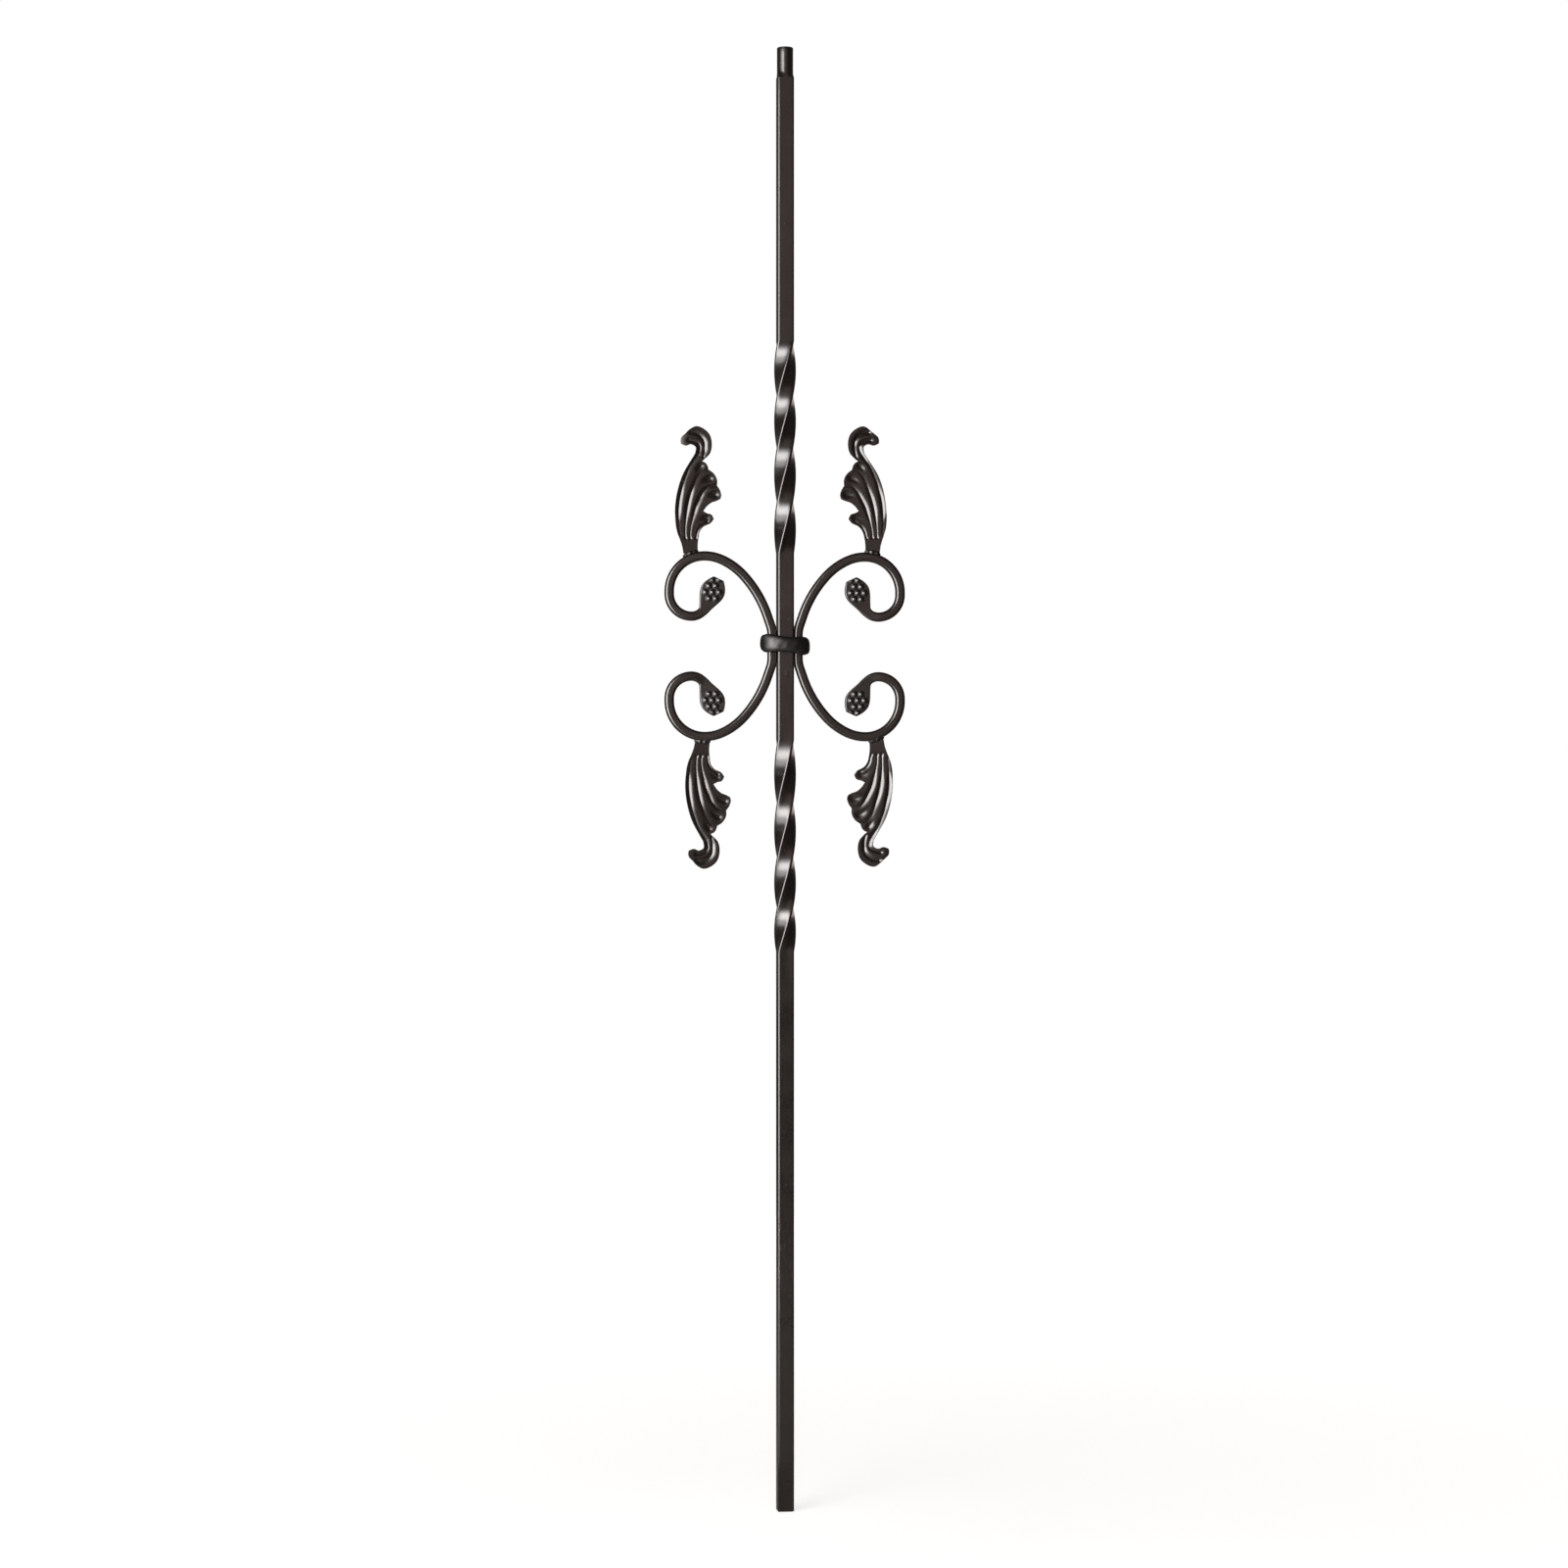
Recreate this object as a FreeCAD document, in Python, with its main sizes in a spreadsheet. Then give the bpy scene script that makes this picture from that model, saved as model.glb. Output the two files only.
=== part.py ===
# Iron stair baluster: a twisted square bar, two C scrolls bound to it by a strap collar, four pressed leaves.
# Millimetres. Origin at the centre of the foot, +Z up the bar, the scrolls lie in the XZ plane, front is -Y.
import FreeCAD, Part
import math
import os
import re

import Sketcher
from FreeCAD import Placement, Rotation, Vector

SIZES = (
    ("bar_length", 1117.6, "foot to the end of the dowel, 44 in"),
    ("bar_width", 12.7, "square bar, 1/2 in"),
    ("dowel_diameter", 12.5, "turned top end that enters the handrail"),
    ("dowel_length", 19.0, "full round part of the dowel"),
    ("dowel_chamfer", 1.0, "lead-in on the dowel's rim"),
    ("dowel_shoulder", 5.0, "cone from the dowel to the full square"),
    ("ornament_height", 660.0, "foot to the middle of the scrolls"),
    ("twist_offset", 71.0, "middle of the scrolls to the near end of a twist"),
    ("twist_length", 162.0, "one full turn"),
    ("scroll_bar", 7.2, "square bar of the scrolls"),
    ("back_length", 18.0, "straight back of a scroll, along the bar"),
    ("heel_radius", 22.0, "bend that leaves the bar"),
    ("heel_turn", 19.0, "degrees"),
    ("rise_length", 8.0, "straight run above the heel"),
    ("flank_radius", 86.0, "long side of the scroll"),
    ("flank_turn", 24.0, "degrees"),
    ("haunch_radius", 50.0, "between flank and crown"),
    ("haunch_turn", 23.0, "degrees"),
    ("crown_radius", 33.0, "up to the top of the arch"),
    ("volute_radius", 27.0, "outer quarter of the volute"),
    ("volute_drop", 2.0, "straight run between the two quarters"),
    ("eye_radius", 17.0, "inner quarter of the volute"),
    ("neck_radius", 11.5, "bend into the berry"),
    ("neck_turn", 72.0, "degrees"),
    ("neck_width", 9.0, "flattened neck where it meets the berry"),
    ("neck_thickness", 3.6, "end of the neck, inside the berry"),
    ("neck_lap", 3.2, "how far the neck runs into the berry"),
    ("berry_length", 27.0, "forged oval end"),
    ("berry_width", 18.8, "forged oval end"),
    ("berry_thickness", 4.6, "forged oval end"),
    ("berry_tip", 6.6, "radius of the oval's ends"),
    ("stud_pitch", 5.3, "studs across the berry"),
    ("stud_row", 4.75, "rows of studs along the berry"),
    ("stud_width", 3.4, "side of a stud's square foot"),
    ("stud_height", 1.1, "stud above the berry"),
    ("collar_wall", 5.6, "thickness of the strap"),
    ("collar_height", 11.5, "strap at the middle of the front"),
    ("collar_flare", 1.5, "each edge of the strap, from the middle to its ends"),
    ("collar_tilt", 4.4, "degrees, the strap drops to the right"),
    ("collar_lift", 1.5, "middle of the strap above the middle of the scrolls"),
    ("collar_gap", 0.1, "strap to the bars it binds"),
    ("seam_width", 0.8, "butt seam at the back of the strap"),
    ("leaf_length", 97.5, "seat to the top of the curled tip"),
    ("leaf_width", 36.0, "outer edge to the widest lobe"),
    ("leaf_thickness", 3.0, "pressed plate"),
    ("tab_width", 11.0, "foot of the leaf"),
    ("flute_radius", 5.0, "hollow of a flute"),
    ("flute_start", 0.35, "depth of a flute at the foot of the leaf"),
    ("flute_end", 1.0, "depth of a flute in its lobe"),
    ("upper_left_seat", 72.5, "bar centre to the leaf's foot"),
    ("upper_right_seat", 67.5, "bar centre to the leaf's foot"),
    ("lower_left_seat", 63.5, "bar centre to the leaf's foot"),
    ("lower_right_seat", 70.5, "bar centre to the leaf's foot"),
    ("upper_left_lean", 0.3, "degrees, towards the bar"),
    ("upper_right_lean", 2.2, "degrees, towards the bar"),
    ("lower_left_lean", -1.8, "degrees, towards the bar"),
    ("lower_right_lean", -1.0, "degrees, towards the bar"),
    ("weld_length", 17.0, "bead along the scroll"),
    ("weld_depth", 6.8, "bead across the scroll"),
    ("weld_height", 3.4, "bead above the scroll"),
    ("weld_slope", 1.6, "how far each side of the bead leans in"),
)

# The leaf is drawn at this size, its foot at (0, 0), its lobes on the side of the bar.
DRAWN_LENGTH, DRAWN_WIDTH = 97.5, 36.0
# Outline above the tab as arcs: the point each passes through and the point it ends at.
OUTLINE_START = (-5.5, 2.0)
OUTLINE_ARCS = (
    ((-11.3, 20.0), (-11.8, 36.0)),
    ((-6.9, 58.5), (3.5, 76.5)),
    ((3.6, 81.5), (0.5, 83.5)),
    ((-4.0, 82.2), (-7.8, 83.5)),
    ((-8.7, 86.0), (-6.8, 89.5)),
    ((4.0, 97.2), (14.0, 91.0)),
    ((15.6, 81.0), (8.5, 70.5)),
    ((12.5, 68.3), (14.2, 64.2)),
    ((20.0, 60.0), (20.7, 52.0)),
    ((24.0, 46.0), (21.5, 41.0)),
    ((14.5, 37.8), (9.5, 32.5)),
    ((12.5, 30.8), (16.0, 30.3)),
    ((18.2, 27.3), (15.5, 23.3)),
    ((9.0, 17.5), (5.5, 7.0)),
)
# Flutes as arcs from the foot to the lobe: start, a point on the way, end, and whether it starts shallow.
FLUTES = {
    "outer": ((-6.1, 12.0), (-8.4, 38.0), (5.6, 74.0), True),
    "curl": ((6.9, 76.0), (5.6, 85.0), (-4.3, 86.2), False),
    "crest": ((11.0, 77.0), (10.8, 88.8), (0.0, 91.8), False),
    "first_lobe": ((-2.9, 12.0), (-1.3, 38.0), (9.9, 64.3), True),
    "second_lobe": ((0.4, 12.0), (4.6, 37.0), (16.0, 55.0), True),
    "third_lobe": ((11.6, 38.6), (15.8, 42.4), (20.0, 45.4), False),
    "low_lobe": ((3.7, 11.5), (7.4, 20.6), (13.9, 26.6), True),
}

QUARTER = 90.0
FULL_TURN = 360.0
NECK_STEPS = 3
# Rows of studs counted from the middle of the berry, and studs counted from the middle of a row.
STUD_ROWS, STUD_COLUMNS = (-2, -1, 0, 1, 2), (-1, 0, 1)
# The strap is trimmed from stock this many times its height.
STRAP_STOCK = 3
RIGHT, UP, FRONT = Vector(1, 0, 0), Vector(0, 0, 1), Vector(0, -1, 0)

doc = FreeCAD.newDocument("baluster")
sheet = doc.addObject("Spreadsheet::Sheet", "sizes")
for row, (alias, value, note) in enumerate(SIZES, 1):
    sheet.set(f"A{row}", note)
    sheet.set(f"B{row}", str(value))
    sheet.setAlias(f"B{row}", alias)
doc.recompute()

ALIAS = re.compile(r"\b(%s)\b" % "|".join(alias for alias, _, _ in SIZES))


def size(alias):
    """The value of one cell of the sheet."""
    return float(sheet.get(alias))


def bind(target, prop, formula):
    """Ties a property to the sheet: the formula names its cells."""
    target.setExpression(prop, ALIAS.sub(r"sizes.\1", formula))


def settle():
    """Recomputes the document and stops at the first object that failed."""
    doc.recompute()
    for item in doc.Objects:
        if "Invalid" in item.State or "Error" in item.State:
            raise RuntimeError(f"{item.Name} failed: {item.State} {item.getStatusString()}")


def plane(body, role):
    return next(f for f in body.Origin.OriginFeatures if f.Role == role)


def new_sketch(body, name, role="XY_Plane", offset=None):
    """A sketch on one of the body's own origin planes."""
    sketch = body.newObject("Sketcher::SketchObject", name)
    sketch.AttachmentSupport = (plane(body, role), [""])
    sketch.MapMode = "FlatFace"
    if offset:
        sketch.AttachmentOffset = offset
    return sketch


def dimension(sketch, formula, *constraint):
    """A driving dimension of a sketch, tied to the sheet."""
    index = sketch.addConstraint(Sketcher.Constraint(*constraint))
    bind(sketch, f"Constraints[{index}]", formula)


def relate(sketch, *constraint):
    sketch.addConstraint(Sketcher.Constraint(*constraint))


def polygon(sketch, points):
    """Closed outline of straight lines, joined end to end; returns the number of its first line."""
    vectors = [Vector(*p, 0) for p in points]
    lines = [Part.LineSegment(a, b) for a, b in zip(vectors, vectors[1:] + vectors[:1])]
    first = sketch.addGeometry(lines)[0]
    count = len(points)
    for i in range(count):
        relate(sketch, "Coincident", first + i, 2, first + (i + 1) % count, 1)
    return first


def octagon(sketch, side, top):
    """Eight-sided outline, the same in all four quarters, from the two corners of its first quarter.

    Each corner is given as x, the formula that drives x, y, and the formula that drives y.
    """
    (ax, _, ay, _), (bx, _, by, _) = side, top
    points = [(ax, -ay), (ax, ay), (bx, by), (-bx, by), (-ax, ay), (-ax, -ay), (-bx, -by), (bx, -by)]
    polygon(sketch, points)
    for one, other, axis in ((0, 1, -1), (7, 2, -1), (4, 1, -2), (3, 2, -2), (5, 4, -1), (6, 3, -1)):
        relate(sketch, "Symmetric", one, 1, other, 1, axis)
    for number, (x, x_formula, y, y_formula) in ((1, side), (2, top)):
        dimension(sketch, x_formula, "DistanceX", -1, 1, number, 1, x)
        dimension(sketch, y_formula, "DistanceY", -1, 1, number, 1, y)
    return points


def plain_square(body, name, side):
    """Square about the origin of its plane."""
    sketch = new_sketch(body, name)
    half = size(side) / 2
    polygon(sketch, [(half, -half), (half, half), (-half, half), (-half, -half)])
    for line, kind in enumerate(("Vertical", "Horizontal", "Vertical", "Horizontal")):
        relate(sketch, kind, line)
    relate(sketch, "Symmetric", 0, 1, 2, 1, -1, 1)
    dimension(sketch, side, "DistanceX", 2, 1, 1, 1, 2 * half)
    dimension(sketch, side, "DistanceY", 0, 1, 1, 1, 2 * half)
    return sketch


def halved_square(body, name, side):
    """Square about the origin with a point halfway along each side, so that a twisted side is two strips."""
    sketch = new_sketch(body, name)
    half = size(side) / 2
    right = [(half, -half), (half, 0), (half, half), (0, half)]
    polygon(sketch, right + [(-x, -y) for x, y in right])
    for line, kind in enumerate(("Vertical", "Vertical", "Horizontal", "Horizontal") * 2):
        relate(sketch, kind, line)
    for middle, axis in ((1, -1), (3, -2), (5, -1), (7, -2)):
        relate(sketch, "PointOnObject", middle, 1, axis)
    relate(sketch, "Symmetric", 0, 1, 4, 1, -1, 1)
    dimension(sketch, side, "DistanceX", 5, 1, 1, 1, 2 * half)
    dimension(sketch, side, "DistanceY", 7, 1, 3, 1, 2 * half)
    return sketch


def faceted(name, rings):
    """Solid with flat faces through a row of closed rings, all with the same number of points."""
    triangles = []
    for ring, after in zip(rings, rings[1:]):
        for i in range(len(ring)):
            j = (i + 1) % len(ring)
            triangles += [(ring[i], ring[j], after[j]), (ring[i], after[j], after[i])]
    faces = [Part.Face(Part.makePolygon([a, b, c, a])) for a, b, c in triangles]
    faces += [Part.Face(Part.makePolygon(ring + ring[:1])) for ring in (rings[0], rings[-1])]
    solid = Part.makeSolid(Part.makeShell(faces)).removeSplitter()
    if solid.Volume < 0:
        solid.reverse()
    piece = doc.addObject("Part::Feature", name)
    piece.Shape = solid
    return piece


def mirrored(source, name, normal):
    """A copy of an object on the other side of a plane through the origin."""
    copy = doc.addObject("Part::Mirroring", name)
    copy.Source = source
    copy.Base = Vector(0, 0, 0)
    copy.Normal = normal
    return copy


def boolean(kind, name, base, tool):
    result = doc.addObject(f"Part::{kind}", name)
    result.Base = base
    result.Tool = tool
    return result


def build_bar():
    """Straight foot, twist, waist, twist and head, with the top end turned to a dowel."""
    body = doc.addObject("PartDesign::Body", "baluster_bar")
    reach = "(twist_offset + twist_length)"
    stages = (
        ("foot", "0", f"ornament_height - {reach}"),
        ("lower_twist", f"ornament_height - {reach}", "twist_length"),
        ("waist", "ornament_height - twist_offset", "2 * twist_offset"),
        ("upper_twist", "ornament_height + twist_offset", "twist_length"),
        ("head", f"ornament_height + {reach}", f"bar_length - ornament_height - {reach}"),
    )
    for name, start, length in stages:
        section = halved_square(body, f"{name}_section", "bar_width")
        bind(section, "AttachmentOffset.Base.z", start)
        if not name.endswith("twist"):
            pad = body.newObject("PartDesign::Pad", name)
            pad.Profile = section
            bind(pad, "Length", length)
            continue
        path = new_sketch(body, f"{name}_axis", "XZ_Plane")
        path.addGeometry(Part.LineSegment(Vector(0, 1, 0), Vector(0, 2, 0)))
        relate(path, "PointOnObject", 0, 1, -2)
        relate(path, "Vertical", 0)
        dimension(path, start, "DistanceY", -1, 1, 0, 1, 1)
        dimension(path, length, "DistanceY", 0, 1, 0, 2, 1)
        lead = doc.addObject("Part::Helix", f"{name}_lead")
        bind(lead, "Pitch", length)
        bind(lead, "Height", length)
        bind(lead, "Radius", "bar_width")
        bind(lead, "Placement.Base.z", start)
        settle()
        pipe = body.newObject("PartDesign::AdditivePipe", name)
        pipe.Profile = section
        pipe.Spine = (path, ["Edge1"])
        pipe.Mode = "Auxiliary"
        pipe.AuxiliarySpine = (lead, ["Edge1"])
        pipe.AuxiliaryCurvilinear = True
    settle()

    radius, top = size("dowel_diameter") / 2, size("bar_length")
    chamfer, length = size("dowel_chamfer"), size("dowel_length")
    base, outside = top - length - size("dowel_shoulder"), size("bar_width")
    cut = new_sketch(body, "dowel_profile", "XZ_Plane")
    rim = [(radius - chamfer, top), (radius, top - chamfer), (radius, top - length)]
    polygon(cut, rim + [(outside, base), (outside, top)])
    relate(cut, "Vertical", 1)
    relate(cut, "Vertical", 3)
    relate(cut, "Horizontal", 4)
    dimension(cut, "bar_length", "DistanceY", -1, 1, 0, 1, top)
    dimension(cut, "dowel_diameter / 2", "DistanceX", -1, 1, 0, 2, radius)
    dimension(cut, "dowel_chamfer", "DistanceY", 0, 2, 0, 1, chamfer)
    dimension(cut, "dowel_chamfer", "DistanceX", 0, 1, 0, 2, chamfer)
    dimension(cut, "dowel_length", "DistanceY", 1, 2, 0, 1, length)
    dimension(cut, "dowel_shoulder", "DistanceY", 2, 2, 2, 1, size("dowel_shoulder"))
    dimension(cut, "bar_width", "DistanceX", -1, 1, 2, 2, outside)
    full = body.Shape.Volume
    groove = body.newObject("PartDesign::Groove", "dowel")
    groove.Profile = cut
    groove.ReferenceAxis = (cut, ["V_Axis"])
    groove.Angle = FULL_TURN
    settle()
    if not body.Shape.Volume < full:
        raise RuntimeError("the dowel was not turned")
    return body


def heading(turn):
    """Unit vector of a path that has turned by this many degrees from +Z towards +X."""
    return Vector(math.sin(math.radians(turn)), 0, math.cos(math.radians(turn)))


def along_arc(start, turn, radius, by):
    """End point of an arc that turns right by so many degrees."""
    side = heading(turn + QUARTER)
    return start + side * radius - heading(turn + by + QUARTER) * radius


def scroll_moves():
    """Half a scroll's path from the middle of its back to its neck.

    Each move is a length or radius, its formula, the turn in degrees and its formula; a line has no turn.
    """
    heel, flank, haunch = size("heel_turn"), size("flank_turn"), size("haunch_turn")
    return (
        (size("back_length") / 2, "back_length / 2", 0, None),
        (size("heel_radius"), "heel_radius", heel, "heel_turn"),
        (size("rise_length"), "rise_length", 0, None),
        (size("flank_radius"), "flank_radius", flank, "flank_turn"),
        (size("haunch_radius"), "haunch_radius", haunch, "haunch_turn"),
        (size("crown_radius"), "crown_radius", QUARTER - heel - flank - haunch,
         f"{QUARTER} - heel_turn - flank_turn - haunch_turn"),
        (size("volute_radius"), "volute_radius", QUARTER, f"{QUARTER}"),
        (size("volute_drop"), "volute_drop", 0, None),
        (size("eye_radius"), "eye_radius", QUARTER, f"{QUARTER}"),
    )


def scroll_joints():
    """Points where the moves of half a scroll meet, from its middle, each with the heading there."""
    joints = [(Vector((size("bar_width") + size("scroll_bar")) / 2, 0, 0), 0.0)]
    for reach, _, by, bend in scroll_moves():
        point, turn = joints[-1]
        end = along_arc(point, turn, reach, by) if bend else point + heading(turn) * reach
        joints.append((end, turn + by))
    return joints


def scroll_path(body):
    """Chain of tangent lines and arcs, as a sketch."""
    sketch = new_sketch(body, "scroll_path", "XZ_Plane")
    joints = scroll_joints()
    flat = lambda p: Vector(p.x, p.z, 0)
    last_end = None
    for number, (reach, reach_formula, by, bend) in enumerate(scroll_moves()):
        (point, turn), (end, _) = joints[number], joints[number + 1]
        if bend is None:
            sketch.addGeometry(Part.LineSegment(flat(point), flat(end)))
            ends = (1, 2)
            dimension(sketch, reach_formula, "Distance", number, reach)
        else:
            half = along_arc(point, turn, reach, by / 2)
            sketch.addGeometry(Part.Arc(flat(end), flat(half), flat(point)))
            ends = (2, 1)
            dimension(sketch, reach_formula, "Radius", number, reach)
            dimension(sketch, f"({bend}) * 1 deg", "Angle", number, math.radians(by))
        if last_end is None:
            relate(sketch, "Vertical", number)
            relate(sketch, "PointOnObject", number, 1, -1)
            dimension(sketch, "(bar_width + scroll_bar) / 2", "DistanceX", -1, 1, number, 1, point.x)
        else:
            relate(sketch, "Tangent", number - 1, last_end, number, ends[0])
        last_end = ends[1]
    return sketch


def scroll_bend():
    """Square bar swept along half a scroll's path."""
    body = doc.addObject("PartDesign::Body", "scroll_bend")
    path = scroll_path(body)
    section = plain_square(body, "scroll_section", "scroll_bar")
    bind(section, "AttachmentOffset.Base.x", "(bar_width + scroll_bar) / 2")
    settle()
    pipe = body.newObject("PartDesign::AdditivePipe", "bend")
    pipe.Profile = section
    pipe.Spine = (path, [f"Edge{i + 1}" for i in range(path.GeometryCount)])
    settle()
    return body


def scroll_neck(start, turn):
    """Bent neck that spreads and flattens from the square bar to the berry."""
    bar, radius, bend = size("scroll_bar"), size("neck_radius"), size("neck_turn")
    rings = []
    for k in range(NECK_STEPS + 1):
        share = k / NECK_STEPS
        point = along_arc(start, turn, radius, share * bend)
        side = heading(turn + share * bend + QUARTER) * ((bar + share * (size("neck_width") - bar)) / 2)
        lift = FRONT * ((bar + share * (size("neck_thickness") - bar)) / 2)
        rings.append([point + side + lift, point - side + lift, point - side - lift, point + side - lift])
    return faceted("neck", rings)


def scroll_berry(centre, axis):
    """Forged oval at the end of the scroll, lying along its axis."""
    body = doc.addObject("PartDesign::Body", "scroll_berry")
    spot = Placement(Vector(centre.x, centre.z, 0), Rotation(UP, -axis))
    oval = new_sketch(body, "berry_outline", "XZ_Plane", spot)
    a, b, tip = size("berry_length") / 2, size("berry_width") / 2, size("berry_tip")
    side = (b**2 + (a - tip) ** 2 - tip**2) / (2 * (b - tip))
    share = side / (side - tip)
    x, y = b - side + (side - b) * share, (a - tip) * share
    joints = [Vector(x, -y, 0), Vector(x, y, 0), Vector(-x, y, 0), Vector(-x, -y, 0)]
    ways = [Vector(b, 0, 0), Vector(0, a, 0), Vector(-b, 0, 0), Vector(0, -a, 0)]
    oval.addGeometry([Part.Arc(*arc) for arc in zip(joints, ways, joints[1:] + joints[:1])])
    for arc in range(4):
        relate(oval, "Coincident", arc, 2, (arc + 1) % 4, 1)
    berry = body.newObject("PartDesign::Pad", "berry")
    berry.Profile = oval
    berry.SideType = "Symmetric"
    bind(berry, "Length", "berry_thickness")
    settle()
    return body


def berry_studs(centre, axis):
    """Staggered rows of square studs on both faces of the berry, wherever a whole stud fits on the oval."""
    pitch, row, reach = size("stud_pitch"), size("stud_row"), size("stud_width") / math.sqrt(2)
    long_half, short_half = size("berry_length") / 2, size("berry_width") / 2
    across, along, studs = heading(axis + QUARTER), heading(axis), []
    places = [((j + (k % 2) / 2) * pitch, k * row) for k in STUD_ROWS for j in STUD_COLUMNS]
    for x, y in places:
        if math.hypot(x / (short_half - reach), y / (long_half - reach)) >= 1:
            continue
        for side, flip in ((FRONT, 2 * QUARTER), (-FRONT, 0)):
            stud = doc.addObject("Part::Wedge", f"stud_{len(studs)}")
            for edge in "XZ":
                bind(stud, f"{edge}min", "-stud_width / 2")
                bind(stud, f"{edge}max", "stud_width / 2")
                setattr(stud, f"{edge}2min", 0)
                setattr(stud, f"{edge}2max", 0)
            bind(stud, "Ymin", "-stud_height / 2")
            bind(stud, "Ymax", "stud_height")
            point = centre + across * x + along * y + side * (size("berry_thickness") / 2)
            stud.Placement = Placement(point, Rotation(-FRONT, axis + QUARTER / 2) * Rotation(RIGHT, flip))
            studs.append(stud)
    return studs


def build_scrolls():
    """Right scroll from two mirrored halves, and the left one as its mirror image, about their own middle."""
    neck_start, turn = scroll_joints()[-1]
    axis = turn + size("neck_turn")
    neck_end = along_arc(neck_start, turn, size("neck_radius"), size("neck_turn"))
    centre = neck_end + heading(axis) * (size("berry_length") / 2 - size("neck_lap"))
    pieces = [scroll_bend(), scroll_neck(neck_start, turn), scroll_berry(centre, axis)]
    half = doc.addObject("Part::MultiFuse", "scroll_upper_half")
    half.Shapes = pieces + berry_studs(centre, axis)
    settle()
    right = boolean("Fuse", "right_scroll_bar", half, mirrored(half, "scroll_lower_half", UP))
    right.Refine = True
    left = mirrored(right, "left_scroll_bar", RIGHT)
    settle()
    return left, right


def build_collar():
    """Strap wrapped round the hull of the three bars, waisted in the middle, with a butt seam at the back."""
    body = doc.addObject("PartDesign::Body", "collar")
    gap, wall = size("collar_gap"), size("collar_wall")
    half_bar, scroll = size("bar_width") / 2, size("scroll_bar")
    side, side_y, front = half_bar + scroll + gap, scroll / 2 + gap, half_bar + gap
    ring = new_sketch(body, "strap_plan")
    at_front = "bar_width / 2 + collar_gap"
    hull = octagon(
        ring,
        (side, "bar_width / 2 + scroll_bar + collar_gap", side_y, "scroll_bar / 2 + collar_gap"),
        (front, at_front, front, at_front),
    )
    corners = [Vector(x, y, 0) for x, y in hull]
    count = len(corners)
    outward = [math.atan2(a.x - b.x, b.y - a.y) for a, b in zip(corners, corners[1:] + corners[:1])]
    step = lambda angle: Vector(math.cos(angle), math.sin(angle), 0) * wall
    for i, corner in enumerate(corners):
        before, after = outward[i - 1], outward[i]
        if after < before:
            after += 2 * math.pi
        ring.addGeometry(Part.ArcOfCircle(Part.Circle(corner, UP, wall), before, after))
        ring.addGeometry(Part.LineSegment(corner + step(after), corners[(i + 1) % count] + step(after)))
    for i in range(count):
        arc, line, following = count + 2 * i, count + 2 * i + 1, count + (2 * i + 2) % (2 * count)
        relate(ring, "Coincident", arc, 3, i, 1)
        relate(ring, "Tangent", arc, 2, line, 1)
        relate(ring, "Tangent", line, 2, following, 1)
        if i:
            relate(ring, "Equal", count, arc)
    dimension(ring, "collar_wall", "Radius", count, wall)
    strap = body.newObject("PartDesign::Pad", "strap")
    strap.Profile = ring
    strap.SideType = "Symmetric"
    bind(strap, "Length", f"{STRAP_STOCK} * collar_height")
    settle()

    half, flare = size("collar_height") / 2, size("collar_flare")
    reach, tall = side + 2 * wall, STRAP_STOCK * size("collar_height")
    tilt = Placement(Vector(0, 0, 0), Rotation(UP, -size("collar_tilt")))
    waist = new_sketch(body, "strap_edges", "XZ_Plane", tilt)
    for up in (1, -1):
        edge = [(-reach, half + flare), (-half_bar, half), (half_bar, half), (reach, half + flare)]
        polygon(waist, [(x, up * y) for x, y in edge + [(reach, tall), (-reach, tall)]])
    trim = body.newObject("PartDesign::Pocket", "strap_trim")
    trim.Profile = waist
    trim.Type = "ThroughAll"
    trim.SideType = "Symmetric"
    settle()

    seam = new_sketch(body, "seam_line")
    half_seam, outer = size("seam_width") / 2, front + 2 * wall
    polygon(seam, [(-half_seam, 0), (half_seam, 0), (half_seam, outer), (-half_seam, outer)])
    split = body.newObject("PartDesign::Pocket", "seam")
    split.Profile = seam
    split.Type = "ThroughAll"
    split.SideType = "Symmetric"
    bind(body, "Placement.Base.z", "ornament_height + collar_lift")
    settle()
    return body


def drawn(point):
    """A point of the leaf's drawing at the leaf's own size, in the XZ plane."""
    across, along = point
    return Vector(across * size("leaf_width") / DRAWN_WIDTH, 0, along * size("leaf_length") / DRAWN_LENGTH)


# Stations along a flute: how far along its arc, and how far it is sunk there.
FLUTE_STATIONS = ((0.0, 0.0), (0.1, 1.0), (0.5, 1.0), (0.9, 1.0), (1.0, 0.0))
FLOOR_SHARE = 0.4
# Where a flute isn't sunk, its tool stays above the plate by this share of its mouth's height.
END_LIFT = 0.1


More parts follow.
